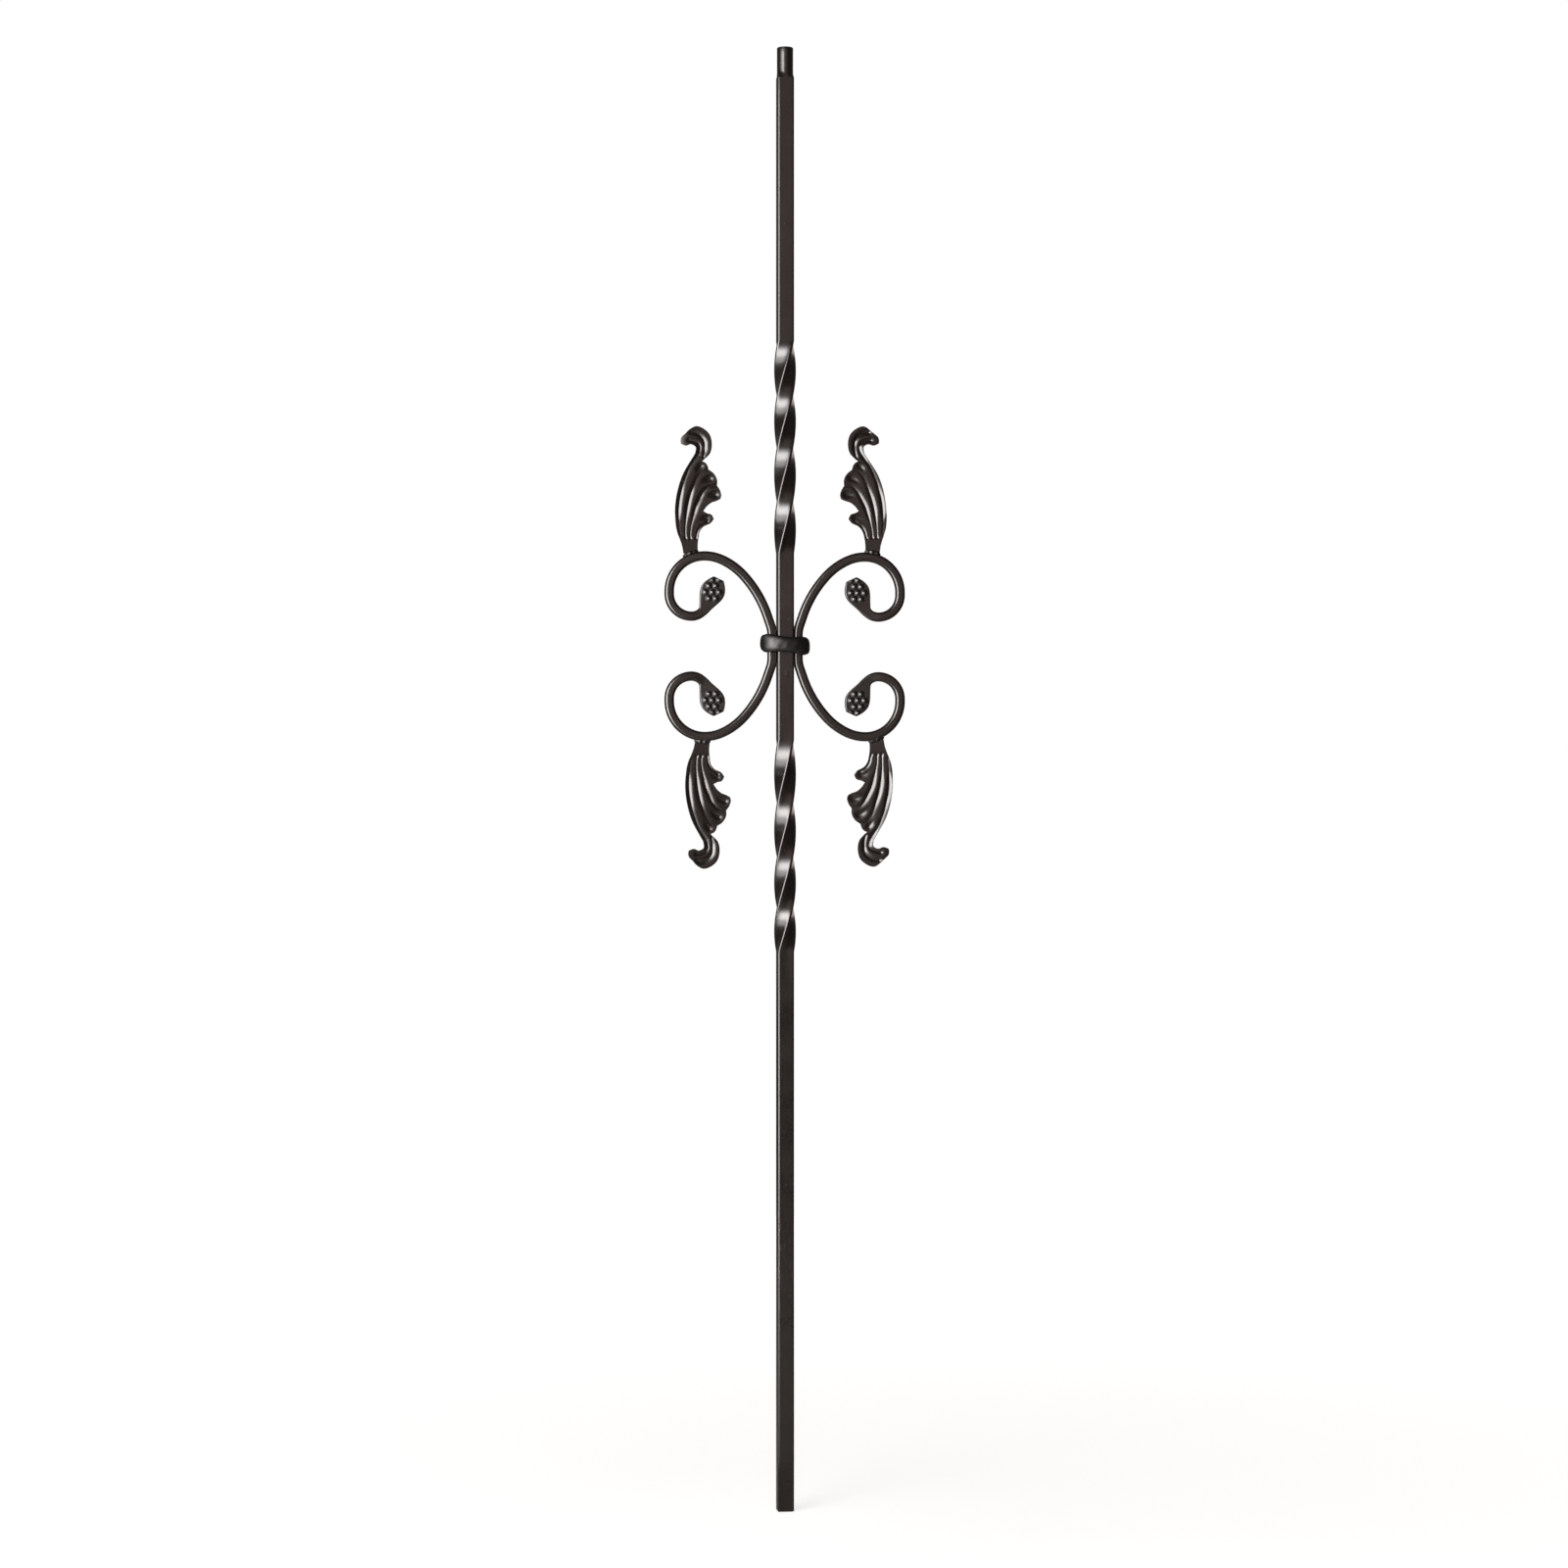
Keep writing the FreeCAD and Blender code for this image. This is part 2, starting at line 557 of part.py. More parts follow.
def build_flute(name, start, way, end, from_shallow):
    """A gouge with a flat floor along an arc, deeper and wider from the foot of the leaf to its lobe."""
    start, way, end = drawn(start), drawn(way), drawn(end)
    hollow, deep = size("flute_radius"), size("flute_end")
    shallow = size("flute_start") if from_shallow else deep
    circle = Part.Circle(start, way, end)
    spoke, far_spoke = start - circle.Center, end - circle.Center
    pole = FRONT if (way - start).cross(end - way).dot(FRONT) > 0 else -FRONT
    sweep = math.degrees(math.atan2(spoke.cross(far_spoke).dot(pole), spoke.dot(far_spoke))) % FULL_TURN
    above = FRONT * size("flute_start")
    rings = []
    for share, sunk in FLUTE_STATIONS:
        turned = Rotation(pole, share * sweep).multVec(spoke)
        side = turned / circle.Radius
        mouth = circle.Center + turned + FRONT * (size("leaf_thickness") / 2) + above
        depth = shallow + share * (deep - shallow)
        half = math.sqrt(2 * hollow * depth - depth**2)
        floor = mouth - above * (1 - END_LIFT * (1 - sunk)) - FRONT * (depth * sunk)
        rings.append([mouth + side * half, floor + side * (half * FLOOR_SHARE),
                      floor - side * (half * FLOOR_SHARE), mouth - side * half])
    return faceted(f"{name}_flute", rings)


def build_leaf_blank():
    """Pressed half-acanthus leaf, upper left hand: plate cut to its lobes and fluted on the front."""
    body = doc.addObject("PartDesign::Body", "leaf_plate")
    outline = new_sketch(body, "leaf_outline", "XZ_Plane")
    flat = lambda p: Vector(p.x, p.z, 0)
    half_tab, stock = size("tab_width") / 2, size("weld_height")
    left = Vector(-half_tab, drawn(OUTLINE_START).z, 0)
    edges, here = [Part.LineSegment(Vector(-half_tab, -stock, 0), left)], left
    for number, (way, end) in enumerate(OUTLINE_ARCS, 1):
        there = flat(drawn(end))
        if number == len(OUTLINE_ARCS):
            there.x = half_tab
        edges.append(Part.Arc(here, flat(drawn(way)), there))
        here = there
    edges.append(Part.LineSegment(here, Vector(half_tab, -stock, 0)))
    edges.append(Part.LineSegment(Vector(half_tab, -stock, 0), Vector(-half_tab, -stock, 0)))
    outline.addGeometry(edges)
    plate = body.newObject("PartDesign::Pad", "plate")
    plate.Profile = outline
    plate.SideType = "Symmetric"
    bind(plate, "Length", "leaf_thickness")
    settle()
    cutters = doc.addObject("Part::MultiFuse", "flutes")
    cutters.Shapes = [build_flute(name, *flute) for name, flute in FLUTES.items()]
    blank = boolean("Cut", "leaf_blank", body, cutters)
    settle()
    return blank


def seat_on_scroll(seat):
    """Point on top of the left scroll at this distance from the bar, and how far the surface leans there."""
    crown_end = next(point for point, turn in scroll_joints() if math.isclose(turn, QUARTER))
    rim = size("volute_radius") + size("scroll_bar") / 2
    centre = crown_end - UP * size("volute_radius")
    lean = math.asin((seat - centre.x) / rim)
    return Vector(-seat, 0, centre.z + rim * math.cos(lean)), -math.degrees(lean)


def weld_bead(name, point, lean):
    """Low bead with sloping sides, square to the scroll, round the foot of a leaf."""
    bead = doc.addObject("Part::Wedge", f"{name}_bead")
    for edge, width in (("X", "weld_length"), ("Z", "weld_depth")):
        bind(bead, f"{edge}min", f"-{width} / 2")
        bind(bead, f"{edge}max", f"{width} / 2")
        bind(bead, f"{edge}2min", f"-{width} / 2 + weld_slope")
        bind(bead, f"{edge}2max", f"{width} / 2 - weld_slope")
    bind(bead, "Ymin", "-weld_height")
    bind(bead, "Ymax", "weld_height")
    bead.Placement = Placement(point, Rotation(-FRONT, lean) * Rotation(RIGHT, QUARTER))
    return bead


def build_leaf(name, blank, scroll, flips):
    """One leaf with its weld bead, seated on the left scroll's top and mirrored to its own quarter."""
    point, lean = seat_on_scroll(size(f"{name}_seat"))
    placed = doc.addObject("Part::Compound", f"{name}_blank")
    placed.Links = [blank]
    placed.Placement = Placement(point, Rotation(-FRONT, size(f"{name}_lean")))
    welded = boolean("Fuse", f"{name}_welded", placed, weld_bead(name, point, lean))
    leaf = boolean("Cut", f"{name}_seated", welded, scroll)
    for flip, normal in enumerate(flips):
        leaf = mirrored(leaf, f"{name}_flip_{flip}", normal)
    settle()
    return leaf


def raise_to_place(source, label):
    """The finished piece at its height on the bar."""
    piece = doc.addObject("Part::Compound", label)
    piece.Links = [source]
    piece.Label = label
    bind(piece, "Placement.Base.z", "ornament_height")
    return piece


def main():
    bar = build_bar()
    left_scroll, right_scroll = build_scrolls()
    collar = build_collar()
    blank = build_leaf_blank()
    nodes = [bar, collar]
    nodes += [raise_to_place(left_scroll, "left_scroll"), raise_to_place(right_scroll, "right_scroll")]
    quarters = {"upper_left": (), "upper_right": (RIGHT,), "lower_left": (UP,), "lower_right": (RIGHT, UP)}
    for name, flips in quarters.items():
        leaf = build_leaf(name, blank, left_scroll, flips)
        nodes.append(raise_to_place(leaf, f"{name}_leaf"))
    settle()

    for node in nodes:
        if node.Shape.isNull() or not node.Shape.isValid() or len(node.Shape.Solids) != 1:
            raise RuntimeError(f"{node.Label} is not one sound solid")
    os.makedirs("parts", exist_ok=True)
    for node in nodes:
        node.Shape.Solids[0].exportStep(f"parts/{node.Label}.step")
        print(f"{node.Label}: {node.Shape.Volume:.1f} mm3")


main()
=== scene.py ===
"""Iron stair baluster: a twisted square bar, two C scrolls bound to it by a strap, four ribbed leaves."""

import math

import bmesh
import bpy
import numpy as np
from bpy.props import FloatProperty, FloatVectorProperty, PointerProperty
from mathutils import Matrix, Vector


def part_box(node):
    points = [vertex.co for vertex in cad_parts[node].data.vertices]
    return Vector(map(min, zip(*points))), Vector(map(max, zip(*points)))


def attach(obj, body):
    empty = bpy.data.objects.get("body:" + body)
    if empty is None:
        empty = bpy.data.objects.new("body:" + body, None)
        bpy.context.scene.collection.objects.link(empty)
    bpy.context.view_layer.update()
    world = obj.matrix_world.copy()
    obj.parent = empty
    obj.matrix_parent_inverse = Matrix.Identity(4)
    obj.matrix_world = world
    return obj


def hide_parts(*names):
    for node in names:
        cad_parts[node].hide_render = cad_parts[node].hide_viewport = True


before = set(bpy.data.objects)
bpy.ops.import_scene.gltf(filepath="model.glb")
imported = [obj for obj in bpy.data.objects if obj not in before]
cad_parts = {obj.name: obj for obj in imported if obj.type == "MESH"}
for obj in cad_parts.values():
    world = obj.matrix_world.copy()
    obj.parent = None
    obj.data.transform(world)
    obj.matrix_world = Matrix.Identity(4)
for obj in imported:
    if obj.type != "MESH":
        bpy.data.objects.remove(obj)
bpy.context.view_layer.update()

bl_info = {
    "name": "Iron stair baluster",
    "version": (1, 0, 0),
    "blender": (4, 5, 0),
    "location": "3D view > Sidebar > Baluster",
    "description": "Builds the forged baluster, its coat and its studio",
    "category": "Add Mesh",
}

MM = 0.001
TURN = 2 * math.pi
QUARTER_TURN = math.pi / 2
ORNAMENT_HEIGHT = 660 * MM
# Points nearer than this are one point.
WELD_GAP = 0.002 * MM


def linear(text):
    """An sRGB hex colour as linear red, green and blue."""
    level = np.array([int(text[i:i + 2], 16) for i in (1, 3, 5)]) / 255
    return tuple(np.where(level <= 0.04045, level / 12.92, ((level + 0.055) / 1.055) ** 2.4))


def length(name, millimetres, description):
    """A property that holds a length."""
    return FloatProperty(
        name=name, description=description, default=millimetres * MM, unit="LENGTH", precision=5)


def angle(name, degrees, description):
    """A property that holds an angle."""
    return FloatProperty(name=name, description=description, default=math.radians(degrees), unit="ROTATION")


def share(name, value, description):
    """A property that holds a share or a plain number."""
    return FloatProperty(name=name, description=description, default=value)


def colour(name, text, description):
    """A property that holds a colour."""
    return FloatVectorProperty(
        name=name, description=description, default=linear(text), subtype="COLOR", size=3)


def power(name, watts, description):
    """A property that holds a lamp's power."""
    return FloatProperty(name=name, description=description, default=watts, unit="POWER")


def seat(name, distance, lean, curl, turn):
    """A property that holds a leaf's place."""
    words = ("Distance from the bar in mm, lean in degrees, "
             "curl of the tip in mm and turn to the right in degrees")
    return FloatVectorProperty(name=name, description=words, default=(distance, lean, curl, turn), size=4)


class BarSettings(bpy.types.PropertyGroup):
    """The square bar, its two twists and the dowel on top."""

    width: length("Width", 12.7, "Side of the square bar")
    corner: length("Corner", 1.5, "Radius of the bar's long corners")
    dowel: length("Dowel", 12.5, "Diameter of the turned top end")
    dowel_reach: length("Dowel length", 19, "Full round part of the dowel")
    shoulder: length("Shoulder", 5, "From the full square to the dowel")
    rim: length("Rim", 1, "Rounded edge of the dowel's end")
    foot_rim: length("Foot rim", 0.5, "Broken edge of the foot")
    blob: length("Blob", 0.14, "Height of the drop of coat below the strap")
    blob_reach: length("Blob reach", 2.2, "Half the width of the drop of coat")
    blob_drop: length("Blob drop", 21, "Drop of coat below the middle of the scrolls")
    blob_shift: length("Blob shift", 0.6, "Drop of coat to the right of the bar's middle")
    twist_offset: length("Twist offset", 71, "Middle of the scrolls to the near end of a twist")
    twist_length: length("Twist length", 162, "Length of one full turn")
    lower_gather: share("Lower gather", 0.15, "How much slower the lower twist starts near the scrolls")
    upper_gather: share("Upper gather", 0.07, "How much slower the upper twist starts near the scrolls")


class ScrollSettings(bpy.types.PropertyGroup):
    """The C scrolls and the studded berries at their ends."""

    width: length("Width", 7.2, "Side of the scroll's square bar")
    back: length("Back", 18, "Straight back along the bar")
    heel_radius: length("Heel radius", 22, "Bend that leaves the bar")
    heel_turn: angle("Heel turn", 19, "Bend that leaves the bar")
    rise: length("Rise", 8, "Straight run above the heel")
    flank_radius: length("Flank radius", 86, "Long side of the scroll")
    flank_turn: angle("Flank turn", 24, "Long side of the scroll")
    haunch_radius: length("Haunch radius", 50, "Between flank and crown")
    haunch_turn: angle("Haunch turn", 23, "Between flank and crown")
    crown_radius: length("Crown radius", 33, "Up to the top of the arch")
    volute_radius: length("Volute radius", 27, "Outer quarter of the volute")
    volute_drop: length("Volute drop", 2, "Straight run between the two quarters")
    eye_radius: length("Eye radius", 17, "Inner quarter of the volute")
    neck_radius: length("Neck radius", 11.5, "Bend of the neck into the berry")
    neck_turn: angle("Neck turn", 65, "Bend of the neck into the berry")
    neck_reach: length("Neck reach", 17, "From the full bar to the flat berry")
    corner: share("Corner", 0.6, "Corner radius as a share of half the bar")
    berry_corner: share("Berry corner", 0.16, "Corner radius of the berry as a share of half its width")
    berry_width: length("Berry width", 18.8, "Across the flattened end")
    berry_thickness: length("Berry thickness", 4.6, "Through the flattened end")
    berry_reach: length("Berry reach", 24.4, "From the neck to the berry's cut end")
    berry_end: length("Berry end", 8.2, "Width of the berry's cut end")
    stud_pitch: length("Stud pitch", 5.2, "Between studs in a row")
    stud_row: length("Stud row", 4.8, "Between rows of studs")
    stud_reach: length("Stud reach", 2.5, "Radius of a stud's foot")
    stud_height: length("Stud height", 1.2, "Stud above the berry")


class CollarSettings(bpy.types.PropertyGroup):
    """The strap that binds the two scrolls to the bar."""

    wall: length("Wall", 5.6, "Thickness of the strap")
    gap: length("Gap", 0.1, "Strap to the bars that it binds")
    corner: share("Corner", 0.8, "Corner radius as a share of half the strap's section")
    height: length("Height", 11.4, "Height at the middle of the front")
    roundness: share("Roundness", 2.15, "Power of the superellipse that the strap's outside follows")
    flare: length("Flare", 2.4, "Extra height of each edge near the strap's ends")
    tilt: angle("Tilt", 4.4, "The strap drops to the right")
    lift: length("Lift", 1.5, "Middle of the strap above the middle of the scrolls")
    seam: length("Seam", 0.8, "Butt seam at the back")
    dents: length("Dents", 0.12, "How uneven the hammer left the strap")
    dull: share("Dull", 0.95, "How dull the coat is on the strap")


class LeafSettings(bpy.types.PropertyGroup):
    """The four pressed leaves that stand on the scrolls."""

    thickness: length("Thickness", 2.0, "Pressed plate")
    front: length("Front", 1.5, "Front of the plate before the middle of the scrolls")
    edge: length("Edge", 0.45, "Rounding of the plate's edges")
    relief: share("Relief", 1.0, "Depth of the grooves and dishes against the drawn depth")
    upper_left: seat("Upper left", 72.5, 0.3, 1.4, 5)
    upper_right: seat("Upper right", 67.5, 2.2, 0.6, 1)
    lower_left: seat("Lower left", 63.5, -1.8, 0.4, 5)
    lower_right: seat("Lower right", 70.5, -1.0, 1.0, -3)


class WeldSettings(bpy.types.PropertyGroup):
    """The beads that hold the leaves on the scrolls."""

    reach: length("Length", 6.4, "Half the bead along the scroll")
    depth: length("Depth", 3.0, "Half the bead across the scroll")
    height: length("Height", 2.2, "Bead above and below the scroll's face")
    lumps: share("Lumps", 0.15, "How uneven the bead is")
    dull: share("Dull", 0.7, "How dull the coat is on the bead")


class CoatSettings(bpy.types.PropertyGroup):
    """The dark bronze powder coat."""

    body: colour("Body", "#150e0b", "Main colour of the coat")
    shade: colour("Shade", "#100a08", "Darker patches of the coat")
    # Painted shade between the studs; on the strap and on the beads a darker, duller coat.
    hollow: colour("Hollow", "#080605", "Thin, dull coat between studs, on the strap and on the beads")
    speck: colour("Speck", "#6b625d", "Bare specks and scuffs")
    peel: length("Peel", 1.1, "Width of the coat's orange peel")
    patch: length("Patch", 22, "Width of the darker patches")
    roughness: share("Roughness", 0.29, "Gloss of the satin coat")


class StageSettings(bpy.types.PropertyGroup):
    """Camera, floor and lamps."""

    azimuth: angle("Azimuth", -7, "Camera's turn about the bar")
    distance: length("Distance", 3000, "Camera to the bar")
    aim: length("Aim", 555, "Height that the camera looks at")
    slide: length("Slide", -0.8, "Camera's step to the right")
    view_height: length("View height", 1198, "Height of the picture at the bar")
    floor: colour("Floor", "#a8a6a2", "Plain floor, before its own glow to the camera")
    key: power("Key", 20, "Tall soft lamp on the left")
    halo: power("Halo", 25, "Wider, fainter lamp behind the key")
    fill: power("Fill", 2.3, "Wide soft lamp by the camera")
    back: power("Back", 5, "Soft lamp that shows the back")


class BalusterSettings(bpy.types.PropertyGroup):
    """All settings of the baluster."""

    bar: PointerProperty(type=BarSettings)
    scroll: PointerProperty(type=ScrollSettings)
    collar: PointerProperty(type=CollarSettings)
    leaf: PointerProperty(type=LeafSettings)
    weld: PointerProperty(type=WeldSettings)
    coat: PointerProperty(type=CoatSettings)
    stage: PointerProperty(type=StageSettings)


def ease(t):
    """Smooth step: 3 t squared less 2 t cubed between 0 and 1."""
    t = np.clip(t, 0, 1)
    return t * t * (3 - 2 * t)


def rounded(t):
    """Quarter circle: rises steeply from 0 at t = 0 and levels off at 1."""
    t = np.clip(t, 0, 1)
    return np.sqrt(1 - (1 - t) ** 2)


def square_outline(corner, on_corner, on_face, on_side):
    """Closed outline of a square of half side 1 with round corners, as complex numbers.

    A quarter arc about each corner's centre, then points along the side to the next corner; the two sides
    that face front and back may have more points than the other two. The first point comes again at the end.
    """
    flat = 1 - corner
    arc = flat * (1 + 1j) + corner * np.exp(1j * np.linspace(0, QUARTER_TURN, on_corner))
    face = flat * np.linspace(1, -1, on_face + 2)[1:-1] + 1j
    side = flat * np.linspace(1, -1, on_side + 2)[1:-1] + 1j
    ring = np.concatenate([arc, face, arc * 1j, side * 1j, -arc, -face, arc * -1j, side * -1j])
    return np.append(ring, ring[0])


def grid_faces(rows, columns):
    """Corner numbers of the quads of a grid of points."""
    number = np.arange(rows * columns).reshape(rows, columns)
    corners = (number[:-1, :-1], number[:-1, 1:], number[1:, 1:], number[1:, :-1])
    return np.stack([c.ravel() for c in corners], axis=1)


def surface_mesh(name, grids):
    """One mesh of several grids of points: doubles are merged, which closes seams and poles.

    A fourth number of a point, if its grid has one, is how much painted shade and dullness its coat gets,
    from 0 to 1.
    """
    points = np.concatenate([g[..., :3].reshape(-1, 3) for g in grids])
    # deep: each point's share of painted shade and dull coat.
    deep = np.concatenate([(g[..., 3] if g.shape[2] > 3 else np.zeros(g.shape[:2])).ravel() for g in grids])
    starts = np.cumsum([0] + [g.shape[0] * g.shape[1] for g in grids])
    faces = np.concatenate([grid_faces(*g.shape[:2]) + start for g, start in zip(grids, starts)])
    mesh = bpy.data.meshes.new(name)
    mesh.from_pydata(points.tolist(), [], faces.tolist())
    mesh.attributes.new("hollow", "FLOAT", "POINT").data.foreach_set("value", deep.astype(np.float32))
    shaped = bmesh.new()
    shaped.from_mesh(mesh)
    bmesh.ops.remove_doubles(shaped, verts=shaped.verts, dist=WELD_GAP)
    bmesh.ops.dissolve_degenerate(shaped, edges=shaped.edges, dist=WELD_GAP)
    bmesh.ops.recalc_face_normals(shaped, faces=shaped.faces)
    shaped.to_mesh(mesh)
    shaped.free()
    mesh.polygons.foreach_set("use_smooth", np.ones(len(mesh.polygons), dtype=bool))
    return mesh


def place_piece(name, grids, material, node):
    """A finished piece on the body, in place of its CAD node."""
    piece = bpy.data.objects.new(name, surface_mesh(name, grids))
    piece.data.materials.append(material)
    bpy.context.scene.collection.objects.link(piece)
    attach(piece, "root")
    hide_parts(node)
    return piece


def add_node(tree, kind, sockets=None, **settings):
    """Adds a node with its settings; a socket is given a value, or an output that it is linked to."""
    node = tree.nodes.new(kind)
    for key, value in settings.items():
        setattr(node, key, value)
    for key, value in (sockets or {}).items():
        if isinstance(value, bpy.types.NodeSocket):
            tree.links.new(value, node.inputs[key])
        else:
            node.inputs[key].default_value = value
    return node


def per_mm(millimetres):
    """Scale of a pattern whose features are this wide."""
    return 1 / (millimetres * MM)


def bronze_powder_coat(coat):
    """Dark bronze powder coat on iron, sprayed and baked.

    It gives the eye a near-black warm brown with a satin gloss, a fine orange peel that breaks up the
    highlights, slightly darker patches where the film is thick, and a few bare specks and scuffs, with
    painted shade between the berries' studs and a darker, duller coat on the strap and beads.
    """
    name = "bronze_powder_coat"
    if name in bpy.data.materials:
        return bpy.data.materials[name]
    material = bpy.data.materials.new(name)
    material.use_nodes = True
    tree = material.node_tree
    tree.nodes.clear()
    place = add_node(tree, "ShaderNodeTexCoord").outputs["Object"]

    patches = add_node(tree, "ShaderNodeTexNoise", {
        "Vector": place, "Scale": 1 / coat.patch, "Detail": 3.0, "Roughness": 0.6})
    patch_share = add_node(tree, "ShaderNodeMapRange", {
        "Value": patches.outputs["Fac"], "From Min": 0.35, "From Max": 0.65})
    base = add_node(tree, "ShaderNodeMix", {
        0: patch_share.outputs["Result"], 6: (*coat.shade, 1), 7: (*coat.body, 1)}, data_type="RGBA")

    # Specks of 0.5 mm, about one to every square of 9 mm.
    cells = add_node(tree, "ShaderNodeTexVoronoi", {"Vector": place, "Scale": per_mm(9), "Randomness": 1.0})
    specks = add_node(tree, "ShaderNodeMapRange", {
        "Value": cells.outputs["Distance"], "From Min": 0.035, "From Max": 0.06,
        "To Min": 0.55, "To Max": 0.0})
    # Slanting scuffs, 1.6 mm wide and eight times as long, on the bar between 165 and 232 mm up.
    slant = add_node(tree, "ShaderNodeMapping", {
        "Vector": place, "Rotation": (0, math.radians(38), 0), "Scale": (1, 1, 0.12)})
    streaks = add_node(tree, "ShaderNodeTexNoise", {"Vector": slant.outputs["Vector"], "Scale": per_mm(1.6)})
    rubbed = add_node(tree, "ShaderNodeMapRange", {
        "Value": streaks.outputs["Fac"], "From Min": 0.58, "From Max": 0.72, "To Max": 0.4})
    up = add_node(tree, "ShaderNodeSeparateXYZ", {"Vector": place}).outputs["Z"]
    above = add_node(tree, "ShaderNodeMapRange", {"Value": up, "From Min": 165 * MM, "From Max": 180 * MM})
    below = add_node(tree, "ShaderNodeMapRange", {"Value": up, "From Min": 232 * MM, "From Max": 215 * MM})
    zone = add_node(tree, "ShaderNodeMath", {0: above.outputs[0], 1: below.outputs[0]}, operation="MULTIPLY")
    scuffs = add_node(tree, "ShaderNodeMath", {
        0: zone.outputs[0], 1: rubbed.outputs[0]}, operation="MULTIPLY")
    marks = add_node(tree, "ShaderNodeMath", {
        0: scuffs.outputs[0], 1: specks.outputs[0]}, operation="MAXIMUM")
    spotted = add_node(tree, "ShaderNodeMix", {
        0: marks.outputs[0], 6: base.outputs[2], 7: (*coat.speck, 1)}, data_type="RGBA")

    # Painted shade between the studs, and a darker, duller coat on the strap and on the beads.
    hollow = add_node(tree, "ShaderNodeAttribute", attribute_name="hollow")
    deep = add_node(tree, "ShaderNodeMix", {
        0: hollow.outputs["Fac"], 6: spotted.outputs[2], 7: (*coat.hollow, 1)}, data_type="RGBA")
    film = add_node(tree, "ShaderNodeMath", {
        0: hollow.outputs["Fac"], 1: -0.9, 2: 0.9}, operation="MULTIPLY_ADD")

    peel = add_node(tree, "ShaderNodeTexNoise", {
        "Vector": place, "Scale": 1 / coat.peel, "Detail": 2.0, "Roughness": 0.5})
    gloss = add_node(tree, "ShaderNodeMapRange", {
        "Value": patches.outputs["Fac"], "From Min": 0.3, "From Max": 0.7,
        "To Min": coat.roughness - 0.04, "To Max": coat.roughness + 0.05})
    dull = add_node(tree, "ShaderNodeMath", {
        0: hollow.outputs["Fac"], 1: 0.14, 2: gloss.outputs["Result"]}, operation="MULTIPLY_ADD")
    bump = add_node(tree, "ShaderNodeBump", {
        "Height": peel.outputs["Fac"], "Strength": 0.2, "Distance": 0.008 * MM})
    shader = add_node(tree, "ShaderNodeBsdfPrincipled", {
        "Base Color": deep.outputs[2], "Roughness": dull.outputs[0], "Normal": bump.outputs["Normal"],
        "Coat Weight": film.outputs[0], "Specular IOR Level": 0.8, "IOR": 1.5, "Coat Roughness": 0.2})
    add_node(tree, "ShaderNodeOutputMaterial", {"Surface": shader.outputs["BSDF"]})
    return material


def twisted_bar(bar, top):
    """Square outline carried up the bar; its turn, blend to a circle and inset are functions of height.

    The turn is f(s) = s - g s (1 - s) of a full circle in each twist, where s runs outwards from the scrolls.
    A drop of coat swells the front by its height times the square of 1 less the square of the distance over
    its reach, and is drawn out upwards and downwards.
    """
    half = bar.width / 2
    ring = square_outline(bar.corner / half, 6, 19, 5) * half
    reach, near = bar.twist_length, bar.twist_offset
    round_start = top - bar.dowel_reach
    drop_height, drop_margin = ORNAMENT_HEIGHT - bar.blob_drop, 6 * MM
    plain, twisted = 12, 170
    steps = np.concatenate([
        np.linspace(bar.foot_rim, ORNAMENT_HEIGHT - near - reach, plain),
        np.linspace(ORNAMENT_HEIGHT - near - reach, ORNAMENT_HEIGHT - near, twisted),
        np.linspace(ORNAMENT_HEIGHT - near, ORNAMENT_HEIGHT + near, plain),
        np.linspace(drop_height - drop_margin, drop_height + drop_margin, 25),
        np.linspace(ORNAMENT_HEIGHT + near, ORNAMENT_HEIGHT + near + reach, twisted),
        np.linspace(ORNAMENT_HEIGHT + near + reach, round_start - bar.shoulder, plain),
        np.linspace(round_start - bar.shoulder, round_start, 16),
        np.linspace(round_start, top - bar.rim, 6),
    ])
    quarter = np.linspace(0, QUARTER_TURN, 6)
    height = np.concatenate([[0, 0], np.unique(steps), top - bar.rim + bar.rim * np.sin(quarter), [top]])
    inset = np.zeros_like(height)
    inset[:2] = half, bar.foot_rim
    inset[-7:-1] = bar.rim * (1 - np.cos(quarter))
    inset[-1] = half
    lower = np.clip((ORNAMENT_HEIGHT - near - height) / reach, 0, 1)
    upper = np.clip((height - ORNAMENT_HEIGHT - near) / reach, 0, 1)
    turned = upper - bar.upper_gather * upper * (1 - upper) - lower + bar.lower_gather * lower * (1 - lower)
    roundness = ease((height - round_start + bar.shoulder) / bar.shoulder)[:, None]
    circle = bar.dowel / 2 * ring / np.abs(ring)
    outline = (ring * (1 - roundness) + circle * roundness) * (1 - inset / half)[:, None]
    outline = outline * np.exp(1j * TURN * turned)[:, None]
    drawn_out, on_front = 1.6, outline.imag < -0.9 * half
    away = np.hypot(outline.real - bar.blob_shift, (height[:, None] - drop_height) / drawn_out)
    swell = np.clip(1 - (away / bar.blob_reach) ** 2, 0, 1) ** 2
    outline = outline - 1j * bar.blob * swell * on_front
    return np.stack([outline.real, outline.imag, np.broadcast_to(height[:, None], outline.shape)], axis=2)


# Longest step along a scroll's bar.
SCROLL_STEP = 1.6 * MM


def scroll_moves(scroll):
    """Half a scroll's path from the middle of its back: radius or length, and turn, of each move."""
    crown_turn = QUARTER_TURN - scroll.heel_turn - scroll.flank_turn - scroll.haunch_turn
    return (
        (scroll.back / 2, 0), (scroll.heel_radius, scroll.heel_turn), (scroll.rise, 0),
        (scroll.flank_radius, scroll.flank_turn), (scroll.haunch_radius, scroll.haunch_turn),
        (scroll.crown_radius, crown_turn), (scroll.volute_radius, QUARTER_TURN), (scroll.volute_drop, 0),
        (scroll.eye_radius, QUARTER_TURN), (scroll.neck_radius, scroll.neck_turn), (scroll.berry_reach, 0),
    )


